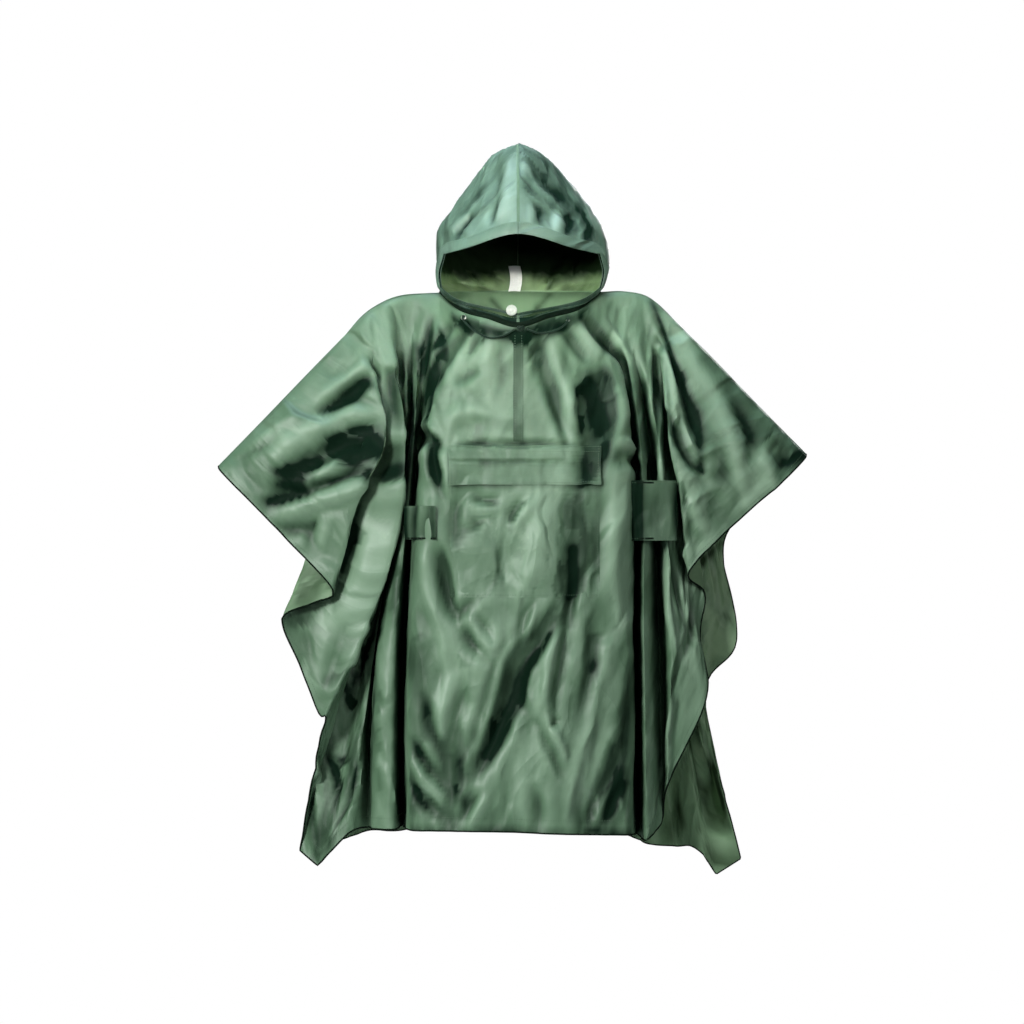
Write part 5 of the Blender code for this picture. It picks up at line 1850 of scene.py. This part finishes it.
# turned pieces: radius and height along the axis, in millimetres
eyelet = {
    "profile": ((2.35, -0.7), (2.35, 0.35), (2.6, 0.75), (3.2, 1.0), (4.2, 0.95), (5.2, 0.7),
                (5.85, 0.3), (6.0, -0.1), (5.9, -0.7)),
    "finish": eyeletFinish,
    "slot": "eyelet",
}
turnedPieces = {
    "eyeletLeft": {
        **eyelet,
        "node": "eyelet_left",
        "place": (-94.04, -83.18, -33.36),
        "axis": (-0.385, -0.694, 0.608),
    },
    "eyeletRight": {
        **eyelet,
        "node": "eyelet_right",
        "place": (85.19, -91.86, -36.86),
        "axis": (0.35, -0.695, 0.628),
    },
    "neckStud": {
        "profile": ((0.0, 1.3), (2.6, 1.3), (3.1, 0.9), (4.6, 0.8), (5.3, 1.25), (6.8, 1.35),
                    (8.3, 1.05), (9.2, 0.3), (9.5, -0.4), (9.2, -1.2), (0.0, -1.2)),
        "finish": studFinish,
        "slot": "stud",
        "node": "neck_stud",
        "place": (-11.32, -122.77, -23.53),
        "axis": (0, -0.993, 0.119),
    },
}


def addTurned(name, spec):
    bm = bmesh.new()
    verts = [bm.verts.new((r * mm, 0, h * mm)) for r, h in spec["profile"]]
    edges = [bm.edges.new(pair) for pair in zip(verts[:-1], verts[1:])]
    if spec["profile"][0][0] > 0:
        # a ring, so the profile closes on itself
        edges.append(bm.edges.new((verts[-1], verts[0])))
    bmesh.ops.spin(
        bm, geom=verts + edges, cent=(0, 0, 0), axis=(0, 0, 1),
        angle=math.radians(360), steps=48, use_merge=True,
    )
    bmesh.ops.remove_doubles(bm, verts=bm.verts, dist=0.01 * mm)
    bmesh.ops.recalc_face_normals(bm, faces=bm.faces)
    turn = Vector(spec["axis"]).to_track_quat("Z", "Y").to_matrix().to_4x4()
    bmesh.ops.transform(bm, matrix=turn, verts=bm.verts)
    bmesh.ops.translate(bm, vec=Vector(spec["place"]) * mm, verts=bm.verts)
    mesh = bpy.data.meshes.new(name)
    bm.to_mesh(mesh)
    bm.free()
    namedMesh(name, smoothed(mesh, 50), [spec["finish"]], spec["slot"], (spec["node"],))


for name, spec in turnedPieces.items():
    addTurned(name, spec)


# a folded satin label sewn along its top edge: x, z and y from one end to the other, in millimetres
label = {
    "across": (-17.0, 4.0),
    "down": (66.0, 20.0),
    "depth": (97.2, 82.0),
    "grid": (15, 31),
    "wall": 0.6,
    "swing": 3.4,
    "sag": 0.8,
    "belly": 1.6,
    "curl": 0.9,
}


def labelGrid(spec):
    s, t = np.meshgrid(*[np.linspace(0, 1, count) for count in spec["grid"]])
    left, right = spec["across"]
    top, bottom = spec["down"]
    start, end = spec["depth"]
    x = left + (right - left) * s + spec["swing"] * np.sin(math.pi * t)
    z = top + (bottom - top) * t + spec["sag"] * np.sin(math.pi * s)
    y = start + (end - start) * t
    y -= spec["belly"] * np.sin(math.pi * t) * np.cos(math.pi * (s - 0.35))
    y -= spec["curl"] * t * t * np.cos(2 * math.pi * s)
    return np.stack([x, y, z], axis=2) * mm


points = labelGrid(label)
mesh = givenWall(gridMesh("neckLabel", points, arcPlaces(points, 0)), label["wall"], 0)
namedMesh("neckLabel", mesh, [labelFinish], "label", ("neck_label",))
print("hardware and label made")


# sewing: each stitch is a small bead of thread laid along its line
thread = {"step": 4.4, "halfSize": (1.45, 0.36, 0.36), "rise": 0.5}


def addStitches(name, lines):
    # lines of places and of the outward directions there
    bm = bmesh.new()
    size = Matrix.Diagonal([half * mm for half in thread["halfSize"]] + [1])
    for places, outward in lines:
        run = runAlong(places)
        marks = np.arange(thread["step"] / 2 * mm, run[-1], thread["step"] * mm)
        ways = atMarks(marks + 0.5 * mm, run, places) - atMarks(marks - 0.5 * mm, run, places)
        for place, normal, way in zip(atMarks(marks, run, places), atMarks(marks, run, outward), ways):
            if np.linalg.norm(way) < 1e-9:
                continue
            forward = Vector(way).normalized()
            up = Vector(normal).normalized()
            turn = Matrix((forward, up.cross(forward).normalized(), up)).transposed().to_4x4()
            move = Matrix.Translation(Vector(place) + up * thread["rise"] * mm)
            bmesh.ops.create_icosphere(bm, subdivisions=1, radius=1.0, matrix=move @ turn @ size)
    mesh = bpy.data.meshes.new(name)
    bm.to_mesh(mesh)
    bm.free()
    mesh.polygons.foreach_set("use_smooth", np.ones(len(mesh.polygons), bool))
    namedMesh(name, mesh, [threadFinish], "coated_cloth")


def rowLine(points, normals, row):
    return points[row], normals[row]


def columnLine(points, normals, column, first):
    return points[first:, column], normals[first:, column]


for name, points in (("frontHem", frontPoints), ("backHem", backPoints)):
    addStitches(name + "Stitches", [rowLine(points, gridNormals(points), -4)])
# rows across each patch, on top of a line down each side
stitchRows = {"pocketCloth": (-2,), "pocketFlap": (1, 5, -3), "placketCloth": ()}
for name, rows in stitchRows.items():
    points = patchPoints[name]
    out = gridNormals(points)
    # the pocket's sides are sewn from below the flap's fold
    first = 10 if name == "pocketCloth" else 0
    lines = [columnLine(points, out, column, first) for column in (1, -2)]
    lines += [rowLine(points, out, row) for row in rows]
    addStitches(name.removesuffix("Cloth") + "Stitches", lines)

# bar tacks hold the tabs' ends: their rows, and from where to where across in millimetres
barTacks = {
    "Left": {"rows": {"Bottom": -2}, "span": (-210, -130)},
    "Right": {"rows": {"Top": 1, "Bottom": -2}, "span": (206, 236)},
}
for name, bars in barTacks.items():
    points = hemPoints[name]
    out = gridNormals(points)
    addStitches("hoodHemStitches" + name, [rowLine(points, out, 4), rowLine(points, out, 1)])
    points = tabPoints[name.lower()]
    out = gridNormals(points)
    addStitches("tabStitches" + name, [rowLine(points, out, 1), rowLine(points, out, -2)])
    low, high = bars["span"]
    for place, row in bars["rows"].items():
        line = points[row]
        line = line[(line[:, 0] > low * mm) & (line[:, 0] < high * mm)]
        # bar tacks, near black so they also paint the shadow lines at the tabs' ends
        addSeam("tabBar" + name + place, line, "barTack", (0, -1, 0), shadowBindingFinish)
print("sewing done")


# what each piece of cloth was cut to, in metres, before it was sewn and worn
cuts = {
    "frontPanel": ((1.30, 1.02), "hung", ()),
    "backPanel": ((1.30, 1.02), "hung", ()),
    "hoodLeft": ((0.30, 0.36), "hung", ()),
    "hoodRight": ((0.30, 0.36), "hung", ()),
    "hoodHemLeft": ((0.46, 0.021), "laid", ("hoodLeft",)),
    "hoodHemRight": ((0.46, 0.021), "laid", ("hoodRight",)),
    "pocketCloth": ((0.259, 0.236), "laid", ("frontPanel",)),
    "pocketFlap": ((0.265, 0.068), "laid", ("pocketCloth",)),
    "placketCloth": ((0.017, 0.184), "laid", ("frontPanel",)),
    "sideTabLeft": ((0.071, 0.058), "hung", ("frontPanel",)),
    "sideTabRight": ((0.102, 0.104), "hung", ("frontPanel",)),
    "neckLabel": ((0.021, 0.049), "hung", ("backPanel",)),
}
for name, (flatSize, held, under) in cuts.items():
    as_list(under)
